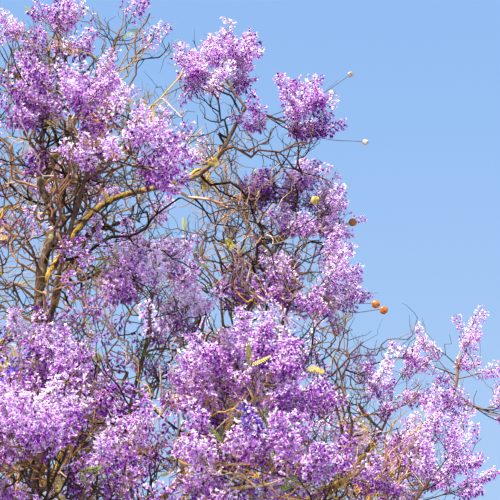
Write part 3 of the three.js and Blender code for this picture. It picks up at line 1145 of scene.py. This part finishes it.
# %% [markdown]
# ## Branches and twigs
#
# Between the masses the crown is a tangle of bare crooked twigs against the sky. Each limb sends out
# branches all along its outer part, each branch carries twigs, and these carry shoots. A jacaranda's
# shoot ends at each flowering and the next breaks out beside it, so every line is a row of short straight
# stretches with a kink between. Smooth curves would look like willow.

# %% Twigs with kinks
KINK = 0.48
TWIG_TAPER = 0.5
WAVER = 0.3
RISE = 0.3
TURN_UP = 0.4


def fine_path(foot, way, length, radius, bend, steps, rng):
    """A kinked twig that leaves along a way and turns upwards."""
    aim = unit(way + RISE * UP + rng.normal(0, WAVER, 3))
    arrive = unit(mixed(aim, UP, TURN_UP))
    bends = max(2, round(length / bend))
    curve = crooked_bends(foot, way, foot + aim * length, arrive, bends, KINK / bends, rng.random)
    return Path(curve, round(bends * steps), lambda share: radius * (1 - TWIG_TAPER * share))


def sideways(way, lean, rng):
    """A random way off to the side of another, leaning forward along it."""
    aside = rng.normal(0, 1, 3)
    aside = unit(aside - way * float(aside @ way))
    return unit(aside + way * lean)


print("a twig thins to", 1 - TWIG_TAPER, "of its thickness")

# %% Tones of twigs
# The large shares of dark and pale twigs stand partly for painted shade and painted sunlight.
TONE_SHARES = {
    "dark_twig": 0.4,
    "brown_twig": 0.26,
    "tan_twig": 0.2,
    "ochre_twig": 0.04,
    "pale_twig": 0.1,
}
LICHEN_DRIFT = 0.8
LICHEN_SHIFT = Vector((34, 0, 0))
LICHEN_FROM = 0.3


def pick_tone(rng):
    return rng.choice(list(TONE_SHARES), p=list(TONE_SHARES.values()))


def lichened(tone, place):
    """In drifts over the crown, lichen turns the twigs of middling tone ochre."""
    drift = noise.noise(Vector(place / LICHEN_DRIFT) + LICHEN_SHIFT)
    return "ochre_twig" if drift > LICHEN_FROM and tone in ("brown_twig", "tan_twig") else tone


print("a brown twig at the fork is a", lichened("brown_twig", TRUNK_TOP))

# %% Branches, twigs and shoots
ORDERS = (
    {"gap": 0.13, "length": (0.5, 1.15), "radius": 0.0135, "bend": 0.11, "steps": 2.0},
    {"gap": 0.09, "length": (0.2, 0.6), "radius": 0.0078, "bend": 0.08, "steps": 1.4},
    {"gap": 0.07, "length": (0.08, 0.26), "radius": 0.0046, "bend": 0.06, "steps": 1.0},
)
BRANCH, TWIG, SHOOT = range(len(ORDERS))
LEAN = 0.65
GIRTHS = (0.8, 1.2)
THINNER = 0.8
NEW_TONE = 0.5
BARE_FOOT = 0.2


def branch_out(wood, path, start, level, tone, stray, rng, spread=1.0):
    """Adds side twigs to a limb or a twig from a share of it on, and theirs in turn. Gives their tips."""
    order = ORDERS[level]
    span = math.dist(path.points[0], path.points[-1]) * (1 - start)
    count = max(1, round(span / (order["gap"] * spread)))
    tips = []
    for i in range(count):
        foot, radius, way = path.at(start + (1 - start) * (i + rng.random()) / count)
        length = rng.uniform(*order["length"])
        girth = min(order["radius"] * rng.uniform(*GIRTHS), radius * THINNER)
        way = sideways(way, LEAN, rng)
        twig = fine_path(foot, way, length, girth, order["bend"], order["steps"], rng)
        if not crown_reach.holds(twig.points[-1], stray):
            continue
        own_tone = pick_tone(rng) if level == BRANCH or rng.random() < NEW_TONE else tone
        wood.add(twig, lichened(own_tone, foot))
        if level < SHOOT:
            tips += branch_out(wood, twig, BARE_FOOT, level + 1, own_tone, stray, rng)
        tips.append(twig)
    return tips


print(len(ORDERS), "orders of twigs, the longest", ORDERS[0]["length"][1], "m long")

# %% [markdown]
# ## Flowers
#
# A head is a loose cluster of sprays. A spray is a stalk about 27 cm long with violet bells all round it,
# widest near its foot and pointed at its end. A bell is a tube 4 cm long that opens into five lobes. It
# could be modelled with all its folds, but there are tens of thousands, so each is only ten triangles.

# %% A bell
FLOWER_LENGTH = 0.042
TUBE_SHARE = 0.72
MOUTH_RADIUS = 0.0078
LOBE_REACH = 0.0158
LOBES = 5


def mesh_with_parts(name, points, faces, parts):
    """A small mesh for copying. The part of a face helps to choose its material."""
    mesh = bpy.data.meshes.new(name)
    mesh.from_pydata(points, [], faces)
    set_values(mesh, "part", "INT", parts, "FACE")
    return mesh


def ring_of(radius, height, shift):
    turns = [(i + shift) * 2 * math.pi / LOBES for i in range(LOBES)]
    return [(radius * math.cos(turn), radius * math.sin(turn), height) for turn in turns]


def flower_mesh():
    """A bell along +Z: a cone with a face for each lobe, and the lobes."""
    mouth = ring_of(MOUTH_RADIUS, FLOWER_LENGTH * TUBE_SHARE, 0)
    lobes = ring_of(LOBE_REACH, FLOWER_LENGTH, 0.5)
    pairs = [(1 + i, 1 + (i + 1) % LOBES) for i in range(LOBES)]
    faces = [(0, b, a) for a, b in pairs] + [(a, b, a + LOBES) for a, b in pairs]
    return mesh_with_parts("flower", [(0.0, 0.0, 0.0), *mouth, *lobes], faces, [0] * LOBES + [1] * LOBES)


print("a bell has", len(ring_of(1, 0, 0)), "lobes")

# %% [markdown]
# ## Tints
#
# Buds on one spray open together, so tints are dealt out by spray. Tints paint light and shade as well:
# paler on top of a mass as painted sunlight, and a deep violet on the bells that hang below a stalk as
# painted shade. Tints also drift over the crown, and some limbs are deeper or paler throughout, partly as
# painted shade and painted sunlight. Noise on the petals would be lost at their size, so each tint is
# two plain colours, one for the lobes and one for the tube.

# %% Tints
# Lilac and mauve are the flower's own colour; white and pale are painted sunlight on it, and violet is
# painted shade. Each tube colour is partly the tube's own deeper violet and partly painted shade.
TINTS = {
    "white": (colour(252, 248, 252), colour(238, 202, 242)),
    "pale": (colour(250, 233, 250), colour(218, 160, 228)),
    "lilac": (colour(238, 201, 245), colour(176, 106, 196)),
    "mauve": (colour(212, 144, 222), colour(136, 52, 156)),
    "violet": (colour(156, 66, 186), colour(84, 8, 110)),
    "blue": (colour(142, 112, 212), colour(82, 54, 150)),
}
# Some limbs' blossom is deeper or paler throughout: partly painted shade and painted sunlight.
DEEPER = {
    "front_left_limb": 0.45,
    "front_right_limb": 0.4,
    "skirt_bough": 0.4,
    "low_front_bough": 0.2,
    "inner_bough": -0.2,
    "right_limb": -0.4,
    "shoulder_bough": -0.3,
    "upper_back_bough": -0.5,
    "back_right_limb": -0.4,
}
MIDDLE_DEPTH = 2.05
DRIFT_SIZE = 0.8
DRIFT_DEPTH = 0.6
SPRAY_VARIES = 0.65
BELL_VARIES = 0.5
SHADE_BELOW = 1.3
BLUE_SHARE = 0.006


def pick_depth(place, mass, rng):
    """How deep a spray's tint is: in drifts over the crown, and paler atop a mass as painted sunlight."""
    drift = noise.noise(Vector(place / DRIFT_SIZE))
    height = (place[2] - mass["centre"][2]) / mass["radius"]
    middle = MIDDLE_DEPTH + DEEPER.get(mass["limb"]["name"], 0.0)
    return middle - height - DRIFT_DEPTH * drift + rng.normal(0, SPRAY_VARIES)


def bell_tints(depth, upward, slim, rng):
    """A spray's tints, deeper as painted shade where bells point down. Now and then a whole spray is blue.
    """
    shades = np.round(depth - SHADE_BELOW * upward + rng.normal(0, BELL_VARIES, len(upward)))
    tints = np.clip(shades, 0, len(TINTS) - 2)
    if rng.random() < BLUE_SHARE and slim == 1:
        tints[:] = len(TINTS) - 1
    return tints


def make_petals():
    petals = []
    for name, (lobe, tube) in TINTS.items():
        petals.append(plain_material(f"{name}_tube", tube, roughness=0.5))
        petals.append(plain_material(f"{name}_lobes", lobe, roughness=0.5))
    return petals


petals = make_petals()
print(len(petals), "colours of petal")


# %% Copies on points
class Copies:
    """Points where copies of one small mesh stand, each with its way, size, roll and tint."""

    KINDS = {"way": "FLOAT_VECTOR", "size": "FLOAT", "roll": "FLOAT", "tint": "INT"}

    def __init__(self):
        self.places = []
        self.lots = {name: [] for name in self.KINDS}

    def add(self, place, **values):
        self.places.append(place)
        for name, lot in self.lots.items():
            lot.append(values[name])

    def made(self, name, tree):
        mesh = bpy.data.meshes.new(name)
        mesh.from_pydata(np.vstack(self.places), [], [])
        for label, kind in self.KINDS.items():
            set_values(mesh, label, kind, np.concatenate(self.lots[label]))
        return run_tree(name, mesh, tree, {"Size": 1.0})


def dress_tree(copy, parts, materials):
    """A copy of a mesh on each point, with its materials by tint and part."""
    graph, inputs = open_tree(f"dress_{copy.name}", {"Size": "Float"})
    shape = graph.node("GeometryNodeObjectInfo", {}, {"Object": copy}, output=4)
    rolled = {"Axis": (0, 0, 1), "Angle": attribute(graph, "roll", "FLOAT")}
    rolled = graph.node("FunctionNodeAxisAngleToRotation", {}, rolled)
    aligned = {"Rotation": rolled, "Vector": attribute(graph, "way", "FLOAT_VECTOR")}
    rotation = graph.node("FunctionNodeAlignRotationToVector", {"axis": "Z"}, aligned)
    size = attribute(graph, "size", "FLOAT") * inputs["Size"]
    set_out = {"Points": inputs["Geometry"], "Instance": shape, "Rotation": rotation, "Scale": size}
    copies = graph.node("GeometryNodeInstanceOnPoints", {}, set_out)
    made = graph.node("GeometryNodeRealizeInstances", {}, {"Geometry": copies})
    number = attribute(graph, "tint", "INT") * float(parts) + attribute(graph, "part", "INT")
    return close_tree(graph, painted(graph, made, number, materials))


flower = bpy.data.objects.new("flower", flower_mesh())
flower_maker = dress_tree(flower, parts=2, materials=petals)
print("a bell has", triangles_of(flower), "triangles, and its tree", len(flower_maker.nodes), "nodes")

# %% [markdown]
# ## Sprays
#
# The bells of a spray go round its stalk at the golden turn, as buds do, so that none hides another, and
# each hangs a little under its own weight. A spray could be one mesh and be copied, but copies would show,
# so every spray is dealt out anew. Bells that would reach out of the crown or hide a pod are left out.

# %% Sprays
SPRAY_LENGTH = 0.27
SPRAY_WIDTH = 0.055
SPRAY_FOOT = 1.1
SPRAY_TAPER = 0.8
STALK_RADIUS = 0.0028
STALK_THINNING = 0.0014
STALK_BENDS = 4
STALK_WOBBLE = 0.012
GREEN_STALKS = 0.35
FLOWERS_A_SPRAY = 50
FEWEST_FLOWERS = 4
FLOWER_SIZES = (0.68, 1.1)
FIRST_BELL = 0.1
LAST_BELL = 0.999
BELLS_TURN = (-0.5, 0.5)
BELLS_OUT = (0.3, 1.0)
BELL_LEAN = 0.3
BELL_WAVER = 0.42
DROOP = 0.6
OVERHANG = 0.1
CLEAR_OF_PODS = 0.13


def make_stalk(wood, foot, way, length, rng):
    """The stalk of a spray, a little crooked."""
    wobble = rng.normal(0, STALK_WOBBLE, (STALK_BENDS, 3))
    wobble[0] = 0.0
    bends = foot + way * np.linspace(0, length, STALK_BENDS)[:, None] + wobble
    stalk = Path(bends, STALK_BENDS - 1, lambda share: STALK_RADIUS - STALK_THINNING * share)
    wood.add(stalk, "green_stalk" if rng.random() < GREEN_STALKS else "brown_twig")
    return stalk


def spray(flowers, wood, foot, way, size, fullness, depth, slim, rng):
    """A stalk with bells all round it. Fullness 1 is full bloom, and a slim spray has small bells."""
    count = max(FEWEST_FLOWERS, round(FLOWERS_A_SPRAY * fullness * size * slim**2))
    stalk = make_stalk(wood, foot, way, SPRAY_LENGTH * size * slim, rng)
    share = FIRST_BELL + (1 - FIRST_BELL) * (np.arange(count) + rng.random(count)) / count
    along = np.array([stalk.at(min(s, LAST_BELL))[0] for s in share])
    sides, others = sides_along(np.array([foot, foot + way]))
    turn = np.arange(count) * GOLDEN_TURN + rng.uniform(*BELLS_TURN, count)
    aside = np.cos(turn)[:, None] * sides[0] + np.sin(turn)[:, None] * others[0]
    out = SPRAY_WIDTH * size / slim * (SPRAY_FOOT - SPRAY_TAPER * share) * rng.uniform(*BELLS_OUT, count)
    ways = aside + BELL_LEAN * way - DROOP * UP + rng.normal(0, BELL_WAVER, (count, 3))
    ways /= np.linalg.norm(ways, axis=1)[:, None]
    tints = bell_tints(depth, aside[:, 2], slim, rng)
    sizes, rolls = rng.uniform(*FLOWER_SIZES, count) / slim, rng.uniform(0, 2 * math.pi, count)
    places = along + aside * out[:, None]
    from_pods = np.linalg.norm(places[:, None] - pod_places, axis=2).min(axis=1)
    kept = (crown_reach.depth(places) > -OVERHANG) & (from_pods > CLEAR_OF_PODS)
    flowers.add(places[kept], way=ways[kept], size=sizes[kept], roll=rolls[kept], tint=tints[kept])


pod_places = np.array([pod["place"] for mass in masses for pod in mass["pods"]])
print("bells are kept clear of", len(pod_places), "pods")

# %% [markdown]
# ## Heads
#
# A head holds a few sprays: the first goes straight on, and the others fan out round it on side twigs.
# Where the blossom is thick, smaller heads stand beside it on twigs of their own, inside the same mass and
# not too near each other. One dense ball of sprays would be simpler, but no sky would show through it.

# %% Heads
FAN_FLATNESS = 0.6
FAN_FORWARD = 0.7
FAN_WIDTH = 0.62
FAN_RISE = 0.15
FAN_OUT = (0.2, 0.6)
FIRST_FORWARD = 0.09
LINK_FEET = (0.5, 0.95)
LINK_STEPS = 3
IN_BLOOM = (0.75, 1.1)
IN_BUD = (0.2, 0.45)
DEEPER_BELOW = 0.8


def bloom_head(flowers, wood, head, mass, count, slim, tone, rng):
    """A cluster of sprays round a head's place, on side twigs of the twig that carries it."""
    twig, size = head["twig"], head["size"]
    wood.add(twig, tone)
    depth = pick_depth(head["place"], mass, rng)
    for i in range(count):
        fan = rng.normal(0, 1, 3)
        fan = unit(fan - head["way"] * float(fan @ head["way"]) * FAN_FLATNESS)
        way = unit(head["way"] * FAN_FORWARD + fan * FAN_WIDTH + UP * FAN_RISE) if i else head["way"]
        out = rng.uniform(*FAN_OUT) if i else 0.0
        middle = head["place"] + fan * HEAD_RADIUS * size * out + way * (0.0 if i else FIRST_FORWARD)
        foot = middle - way * SPRAY_LENGTH * size * slim * 0.5
        start, radius, leave = twig.at(rng.uniform(*LINK_FEET))
        curve = crooked_bends(start, leave, foot, way, TWIG_BENDS, TWIG_CROOK, rng.random)
        wood.add(Path(curve, LINK_STEPS, lambda share: mixed(radius * THINNER, TWIG_END, share)), tone)
        fullness = rng.uniform(*(IN_BLOOM if head["blooms"] else IN_BUD))
        # Sprays that hang below their head get deeper tints: painted shade.
        below = (head["place"][2] - middle[2]) / (HEAD_RADIUS * size)
        spray(flowers, wood, foot, way, size, fullness, depth + below * DEEPER_BELOW, slim, rng)


print("heads in bloom are", IN_BLOOM, "full, and heads in bud", IN_BUD)

# %% Side heads
SIDE_HEAD_FEET = (0.3, 0.85)
SIDE_HEAD_REACH = (0.16, 0.34)
SIDE_HEAD_BEND = 0.07
SIDE_HEAD_STEPS = 1.0
SIDE_HEAD_LEAN = 0.5
SIDE_HEAD_THINNER = 0.85
SIDE_HEAD_SIZES = (0.75, 0.95)
SIDE_HEAD_OUTWARD = 0.8
SIDE_HEAD_ROOM = 0.6
HEADS_APART = 0.13
INSIDE = 0.98


def side_heads(head, mass, count, rng):
    """Smaller heads on side twigs of a head's twig, inside the mass's own space."""
    made = []
    for _ in range(count * TRIES):
        if len(made) == count:
            break
        foot, radius, way = head["twig"].at(rng.uniform(*SIDE_HEAD_FEET))
        length, girth = rng.uniform(*SIDE_HEAD_REACH), radius * SIDE_HEAD_THINNER
        way = sideways(way, SIDE_HEAD_LEAN, rng)
        twig = fine_path(foot, way, length, girth, SIDE_HEAD_BEND, SIDE_HEAD_STEPS, rng)
        place = twig.points[-1]
        apart = min(math.dist(place, other["place"]) for other in mass["heads"] + made)
        within = math.dist(place, mass["centre"]) < mass["radius"] * INSIDE
        roomy = room.holds(place[None], np.array([HEAD_RADIUS * SIDE_HEAD_ROOM]), mass)
        if not (within and roomy and apart > HEADS_APART):
            continue
        outward = SIDE_HEAD_OUTWARD * unit(place - mass["centre"])
        way = unit(unit(twig.points[-1] - twig.points[-2]) + outward)
        size = head["size"] * rng.uniform(*SIDE_HEAD_SIZES)
        made.append({"twig": twig, "place": place, "way": way, "size": size, "blooms": head["blooms"]})
    return made


print("heads stand at least", HEADS_APART, "m apart")

# %% [markdown]
# ## Leaves
#
# A few young leaves show among the blossom, ferny and yellow-green: a rib with paired side ribs. On each
# of these the leaflets are so small that they read as one narrow blade, so a blade is what is modelled.

# %% Leaves
LEAF_LENGTH = 0.14
LEAF_PAIRS = 10
LEAF_SAG = 0.03
RIB_WIDTH = 0.0024
BLADE_LENGTH = 0.032
BLADE_WIDTH = 0.009
BLADE_SWELL = (0.25, 0.62)
BLADE_OUT = np.array([0.9, -0.18, 0.42])
BLADE_ACROSS = np.array([-0.2, 0.0, 0.5])
LEAF_GREENS = {
    "leaf_green": colour(112, 134, 44),
    "leaf_yellow": colour(172, 168, 60),
    "leaf_gold": colour(192, 166, 76),
}


def leaf_mesh():
    """A leaf along +Z: a thin rib and pairs of narrow blades, shorter towards the tip."""
    rib = np.linspace(0, 1, LEAF_PAIRS + 1)
    sag = -LEAF_SAG * rib**2
    points = [(x, y, z * LEAF_LENGTH) for z, y in zip(rib, sag) for x in (RIB_WIDTH / 2, -RIB_WIDTH / 2)]
    faces = [(2 * i, 2 * i + 2, 2 * i + 3, 2 * i + 1) for i in range(LEAF_PAIRS)]
    for share, drop in zip(rib[1:], sag[1:]):
        length = BLADE_LENGTH * math.sin(math.pi * grown(BLADE_SWELL, share))
        foot = np.array([0.0, drop, share * LEAF_LENGTH])
        for mirror in ([1, 1, 1], [-1, 1, 1]):
            out, across = BLADE_OUT * mirror * length, BLADE_ACROSS * mirror * BLADE_WIDTH
            faces.append(tuple(range(len(points), len(points) + 4)))
            points += [foot, foot + out * 0.5 - across, foot + out, foot + out * 0.5 + across]
    return mesh_with_parts("leaf", points, faces, [0] * len(faces))


greens = [plain_material(name, shade, roughness=0.6) for name, shade in LEAF_GREENS.items()]
leaf = bpy.data.objects.new("leaf", leaf_mesh())
leaf_maker = dress_tree(leaf, parts=1, materials=greens)
print("a leaf has", triangles_of(leaf), "triangles")

# %% [markdown]
# ## Pods
#
# Pods are flat round woody capsules, 5 to 6 cm across, with a raised seam all round where they split. They
# hang at the ends of long bare stalks: orange when ripe, yellow before that, pale when dry, and dark when
# they are old. A squashed sphere would be too even, so rings of points are pushed in and out by noise.

# %% Shape of a pod
POD_THICKNESS = 0.013
POD_TURNS = 28
POD_RINGS = 12
RIM_WAVE = 0.05
RIM_WAVES = 1.6
SEAM = 1.05
SEAM_WIDTH = 0.05
DENT = 0.12


def pod_point(rise, turn, seed):
    """A point of a pod about its middle: flat along Y, with a seam round its rim and a wavy face."""
    flat, thick = math.sin(rise), math.cos(rise)
    round_rim = Vector((math.cos(turn) * RIM_WAVES, math.sin(turn) * RIM_WAVES, seed))
    wave = 1 + RIM_WAVE * noise.noise(round_rim)
    seam = SEAM if abs(thick) < SEAM_WIDTH else 1.0
    across = POD_RADIUS * flat * wave * seam
    face = POD_THICKNESS * thick * (1 - DENT * noise.noise(Vector((turn, rise * 2, seed))))
    return np.array([across * math.cos(turn), face, across * math.sin(turn)])


def pod_faces():
    """The faces between rings of points, closed by a fan at each pole."""
    faces = []
    poles = ((POD_RINGS - 1) * POD_TURNS, (POD_RINGS - 1) * POD_TURNS + 1)
    last = (POD_RINGS - 2) * POD_TURNS
    for k in range(POD_TURNS):
        n = (k + 1) % POD_TURNS
        faces += [(poles[0], n, k), (poles[1], last + k, last + n)]
        for ring in range(POD_RINGS - 2):
            a, b = ring * POD_TURNS, (ring + 1) * POD_TURNS
            faces.append((a + k, a + n, b + n, b + k))
    return faces


def pod_shape(centre, size, seed):
    rises = [math.pi * ring / POD_RINGS for ring in range(1, POD_RINGS)]
    turns = [2 * math.pi * k / POD_TURNS for k in range(POD_TURNS)]
    points = [pod_point(rise, turn, seed) for rise in rises for turn in turns]
    points += [np.array([0, POD_THICKNESS, 0]), np.array([0, -POD_THICKNESS, 0])]
    return [centre + point * size for point in points]


print("a pod is", 2000 * POD_RADIUS, "mm across and", 2000 * POD_THICKNESS, "mm thick")

# %% Pods
POD_TINTS = {
    "ripe": (colour(222, 124, 24), colour(112, 46, 8)),
    "unripe": (colour(222, 206, 96), colour(140, 124, 48)),
    "dry": (colour(226, 206, 190), colour(96, 72, 58)),
    "old": (colour(92, 60, 38), colour(44, 28, 20)),
}
POD_SIZES = {"ripe": 1.0, "unripe": 1.1, "dry": 0.75, "old": 0.9}
POD_HANG = 0.8
POD_SEED_STEP = 2.3
SPECKLE_WAVES = 160.0
STAIN_WAVES = 34.0
SPECKLE_DEPTH = 0.001


def pod_material(name, light, dark):
    material, graph, shader = new_material(f"{name}_pod", roughness=0.3)
    place = graph.place()
    speckle = graph.noise(place, SPECKLE_WAVES, detail=4.0)
    stain = graph.noise(place, STAIN_WAVES, detail=2.0)
    graph.feed(shader, "Base Color", graph.mix((speckle * 0.5 + stain * 0.5).over(0.4, 0.6), dark, light))
    emboss(graph, shader, speckle, strength=0.5, depth=SPECKLE_DEPTH)
    return material


def solids_of(masses):
    return [f"blossom_{mass['name']}" for mass in masses]


def make_pods():
    """All the pods as one mesh, with a material for each tint."""
    points, faces, tints = [], [], []
    pods = [pod for mass in masses for pod in mass["pods"]]
    for number, pod in enumerate(pods):
        centre = pod["place"] + pod["way"] * POD_RADIUS * POD_HANG
        faces += [tuple(corner + len(points) for corner in face) for face in pod_faces()]
        tints += [list(POD_TINTS).index(pod["tint"])] * len(pod_faces())
        points += pod_shape(centre, POD_SIZES[pod["tint"]], number * POD_SEED_STEP)
    mesh = bpy.data.meshes.new("pods")
    mesh.from_pydata(points, [], faces)
    for name, (light, dark) in POD_TINTS.items():
        mesh.materials.append(pod_material(name, light, dark))
    mesh.polygons.foreach_set("material_index", tints)
    mesh.shade_smooth()
    hand_over(placed("pods", mesh), solids_of(mass for mass in masses if mass["pods"]))
    return len(pods)


print(make_pods(), "pods")

# %% [markdown]
# ## How full each limb is
#
# No two limbs bloom alike. The lower front is a carpet of blossom, and the low limb at the right and the
# crest are nearly bare twigs. One fullness for all would be simpler, but the crown would look clipped.
#
# The first table says how a usual limb is: the sprays of a head and how slim they are, the smaller heads
# beside it and their sprays, the share of bare tips that end in a spray or in leaves, the share of the
# limb that stays bare, and how far apart and how far from a mass its branches go. Inner tips say how much
# of that still holds deep inside the crown. The other tables say what is different on a limb, or on one
# mass of it. Thick, open and slim are three kinds that come more than once.

# %% How full each limb is
FULL = {
    "sprays": 5,
    "slim": 1.0,
    "side_heads": 1,
    "side_sprays": 3,
    "tips": 0.15,
    "inner_tips": 0.1,
    "leaves": 0.02,
    "bare": 0.3,
    "spread": 1.0,
    "stray": 0.6,
}
THICK = {"side_heads": 2}
OPEN = {"sprays": 2, "side_heads": 0}
UPPER = {
    "leader": {"sprays": 3, "tips": 0.03, "spread": 0.6, "stray": 0.95},
    "diagonal_bough": THICK | {"sprays": 6, "tips": 0.01, "leaves": 0.01, "bare": 0.45, "spread": 0.9},
    "diagonal_bough_2": {"sprays": 5, "side_heads": 1},
    "crest_bough": OPEN | {"tips": 0.0, "leaves": 0.0, "bare": 0.1, "spread": 0.35},
    "upper_front_bough": {"tips": 0.05, "bare": 0.6},
    "upper_front_bough_1": THICK | {"sprays": 6},
    "upper_front_bough_2": {"sprays": 4, "side_sprays": 2, "tips": 0.01},
    "upper_back_bough": {"sprays": 3, "tips": 0.03, "spread": 0.6},
    "upper_back_bough_1": OPEN | {"tips": 0.05},
}
SLIM = OPEN | {"slim": 1.35, "leaves": 0.0}
RIGHT = {
    "right_limb": {"sprays": 4, "tips": 0.03, "spread": 0.5, "stray": 0.5},
    "shoulder_bough": {"sprays": 6, "tips": 0.02, "spread": 0.5, "stray": 0.5},
    "low_right_limb": SLIM | {"tips": 0.06, "spread": 1.8, "stray": 0.14},
    "slender_bough": SLIM | {"sprays": 3, "tips": 0.12, "inner_tips": 0.5, "spread": 1.5, "stray": 0.1},
    "low_front_bough": {"sprays": 4, "slim": 1.2, "tips": 0.09, "spread": 0.35, "stray": 0.5},
}
LOWER = {
    "front_right_limb": THICK | {"sprays": 6, "tips": 0.35, "inner_tips": 0.45, "spread": 0.7},
    "front_right_limb_2": {"inner_tips": 0.2},
    "inner_bough": {"sprays": 4, "tips": 0.2, "inner_tips": 0.5, "leaves": 0.05, "spread": 0.6},
    "front_left_limb": {"tips": 0.2, "inner_tips": 0.15, "leaves": 0.03, "spread": 0.6},
    "front_left_limb_1": {"sprays": 3, "tips": 0.08},
    "front_left_limb_2": THICK | {"sprays": 7, "tips": 0.6, "inner_tips": 0.3},
    "skirt_bough": OPEN | {"tips": 0.08, "inner_tips": 0.2, "leaves": 0.08, "spread": 0.5},
    "back_right_limb": {"tips": 0.25, "spread": 0.7},
    "back_limb": {"tips": 0.25, "spread": 0.7},
}
FAR_LOW = {f"far_low_{i + 1}": {"sprays": 4} for i in range(3)}
FULLNESS = UPPER | RIGHT | LOWER | FAR_LOW
print(len(FULLNESS), "limbs and masses differ from the usual one")

# %% [markdown]
# ## The crown
#
# The crown could be one mesh, but it would be too heavy to handle, so it is grown group by group. Limbs
# send out their twigs first. Then each mass gets its heads, and at the end some of the tips that stayed
# bare get a spray or a few leaves. Every limb has a seed of its own, so a change to one leaves the others.

# %% Tips
SURFACE = 0.5
TIP_SPRAYS = (0.7, 1.0)
TIP_FULLNESS = 0.8
LEAVES_A_TIP = 3
LEAVES_LEAN = 0.8
LEAF_SIZES = (0.6, 1.0)


def leaf_out(leaves, place, way, rng):
    """A few leaves round a tip, all of one green."""
    count = LEAVES_A_TIP
    ways = np.array([sideways(way, LEAVES_LEAN, rng) for _ in range(count)])
    sizes, rolls = rng.uniform(*LEAF_SIZES, count), rng.uniform(0, 2 * math.pi, count)
    tints = np.full(count, rng.integers(len(LEAF_GREENS)))
    leaves.add(np.tile(place, (count, 1)), way=ways, size=sizes, roll=rolls, tint=tints)


def grow_tips(kinds, tips, own_masses, wants, rng):
    """Gives some bare tips a spray of their own, and some a few leaves."""
    for twig in tips:
        place, way = twig.points[-1], unit(twig.points[-1] - twig.points[-2])
        mass = min(own_masses, key=lambda mass: math.dist(mass["centre"], place))
        full = wants[mass["name"]]
        outside = max(full["inner_tips"], 1 - crown_reach.depth(place) / SURFACE)
        if rng.random() < full["tips"] * outside:
            size = rng.uniform(*TIP_SPRAYS)
            depth = pick_depth(place, mass, rng)
            lots = (kinds["flowers"], kinds["twigs"])
            spray(*lots, place, way, size, TIP_FULLNESS, depth, full["slim"], rng)
        elif rng.random() < full["leaves"]:
            leaf_out(kinds["leaves"], place, way, rng)


print("tips within", SURFACE, "m of the hull bloom the most")

# %% Growing a limb and its masses
LIMB_SEED = 500
TRUNK_BARE = 0.5
STEM_STEPS = 10
BARE_STEPS = 8
HEAD_TWIG_STEPS = 6


def grow_blossom(kinds, mass, full, rng):
    """Dresses one mass: its stem, heads and side heads, bare twigs, and the stalks of its pods."""
    flowers, wood = kinds["flowers"], kinds["twigs"]
    kinds["stems"].add(mass["stem"].finer(STEM_STEPS), "brown_twig")
    tips = []
    own = [{**head, "twig": head["twig"].finer(HEAD_TWIG_STEPS)} for head in mass["heads"]]
    beside = [other for head in own for other in side_heads(head, mass, full["side_heads"], rng)]
    for heads, count in ((own, full["sprays"]), (beside, full["side_sprays"])):
        for head in heads:
            tone = pick_tone(rng)
            bloom_head(flowers, wood, head, mass, count if head["blooms"] else 1, full["slim"], tone, rng)
            tips += branch_out(wood, head["twig"], BARE_FOOT, SHOOT, tone, full["stray"], rng)
    for bare in mass["bare"]:
        tone = pick_tone(rng)
        wood.add(bare["twig"].finer(BARE_STEPS), tone)
        tips += branch_out(wood, bare["twig"], BARE_FOOT, TWIG, tone, full["stray"], rng)
    for pod in mass["pods"]:
        wood.add(pod["stalk"].finer(BARE_STEPS), "brown_twig")
    return tips


def grow_limb(kinds, limb, own_masses):
    rng = np.random.default_rng(LIMB_SEED + list(limbs).index(limb["name"]))
    full = FULL | FULLNESS.get(limb["name"], {})
    start = max(full["bare"], TRUNK_BARE) if limb["source"] == "trunk" else full["bare"]
    tone = pick_tone(rng)
    tips = branch_out(kinds["twigs"], limb["path"], start, BRANCH, tone, full["stray"], rng, full["spread"])
    wants = {mass["name"]: full | FULLNESS.get(mass["name"], {}) for mass in own_masses}
    for mass in own_masses:
        tips += grow_blossom(kinds, mass, wants[mass["name"]], rng)
    grow_tips(kinds, tips, own_masses, wants, rng)


print("limbs from the trunk have bare feet for", TRUNK_BARE, "of their length")

# %% Growing the crown
GROUPS = {
    "top": ("leader", "diagonal_bough", "crest_bough", "upper_front_bough", "upper_back_bough"),
    "right": ("right_limb", "shoulder_bough", "low_right_limb", "slender_bough", "low_front_bough"),
    "front": ("front_right_limb", "inner_bough", "front_left_limb", "skirt_bough"),
    "back": ("back_right_limb", "back_limb"),
    "left": ("far_low_1", "far_low_2", "far_low_3"),
    "far": ("far_high_1", "far_high_2"),
}
TWIG_SIDES = 3
STEM_SIDES = 6


def grow_group(group, names, leaves):
    """The flowers, twigs and stems of a group of limbs, as three pieces. Gives their triangles."""
    kinds = {"flowers": Copies(), "twigs": Wood(), "stems": Wood(), "leaves": leaves}
    replaced = [mass for mass in masses if mass["limb"]["name"] in names]
    for name in names:
        grow_limb(kinds, limbs[name], [mass for mass in replaced if mass["limb"]["name"] == name])
    pieces = {
        kinds["flowers"].made(f"flowers_{group}", flower_maker): "blossom",
        kinds["twigs"].made(f"twigs_{group}", TWIG_SIDES): "bark",
        kinds["stems"].made(f"stems_{group}", STEM_SIDES): "bark",
    }
    for piece, slot in pieces.items():
        hand_over(piece, solids_of(replaced))
    return {piece.name: triangles_of(piece) for piece in pieces}


def make_crown():
    leaves = Copies()
    total = 0
    for group, names in GROUPS.items():
        sizes = grow_group(group, names, leaves)
        total += sum(sizes.values())
        print(sizes)
    foliage = leaves.made("leaves", leaf_maker)
    hand_over(foliage, solids_of(masses))
    print("leaves", triangles_of(foliage), "and", total + triangles_of(foliage), "triangles in all")


make_crown()
bpy.data.objects.remove(flower)
bpy.data.objects.remove(leaf)

# %% [markdown]
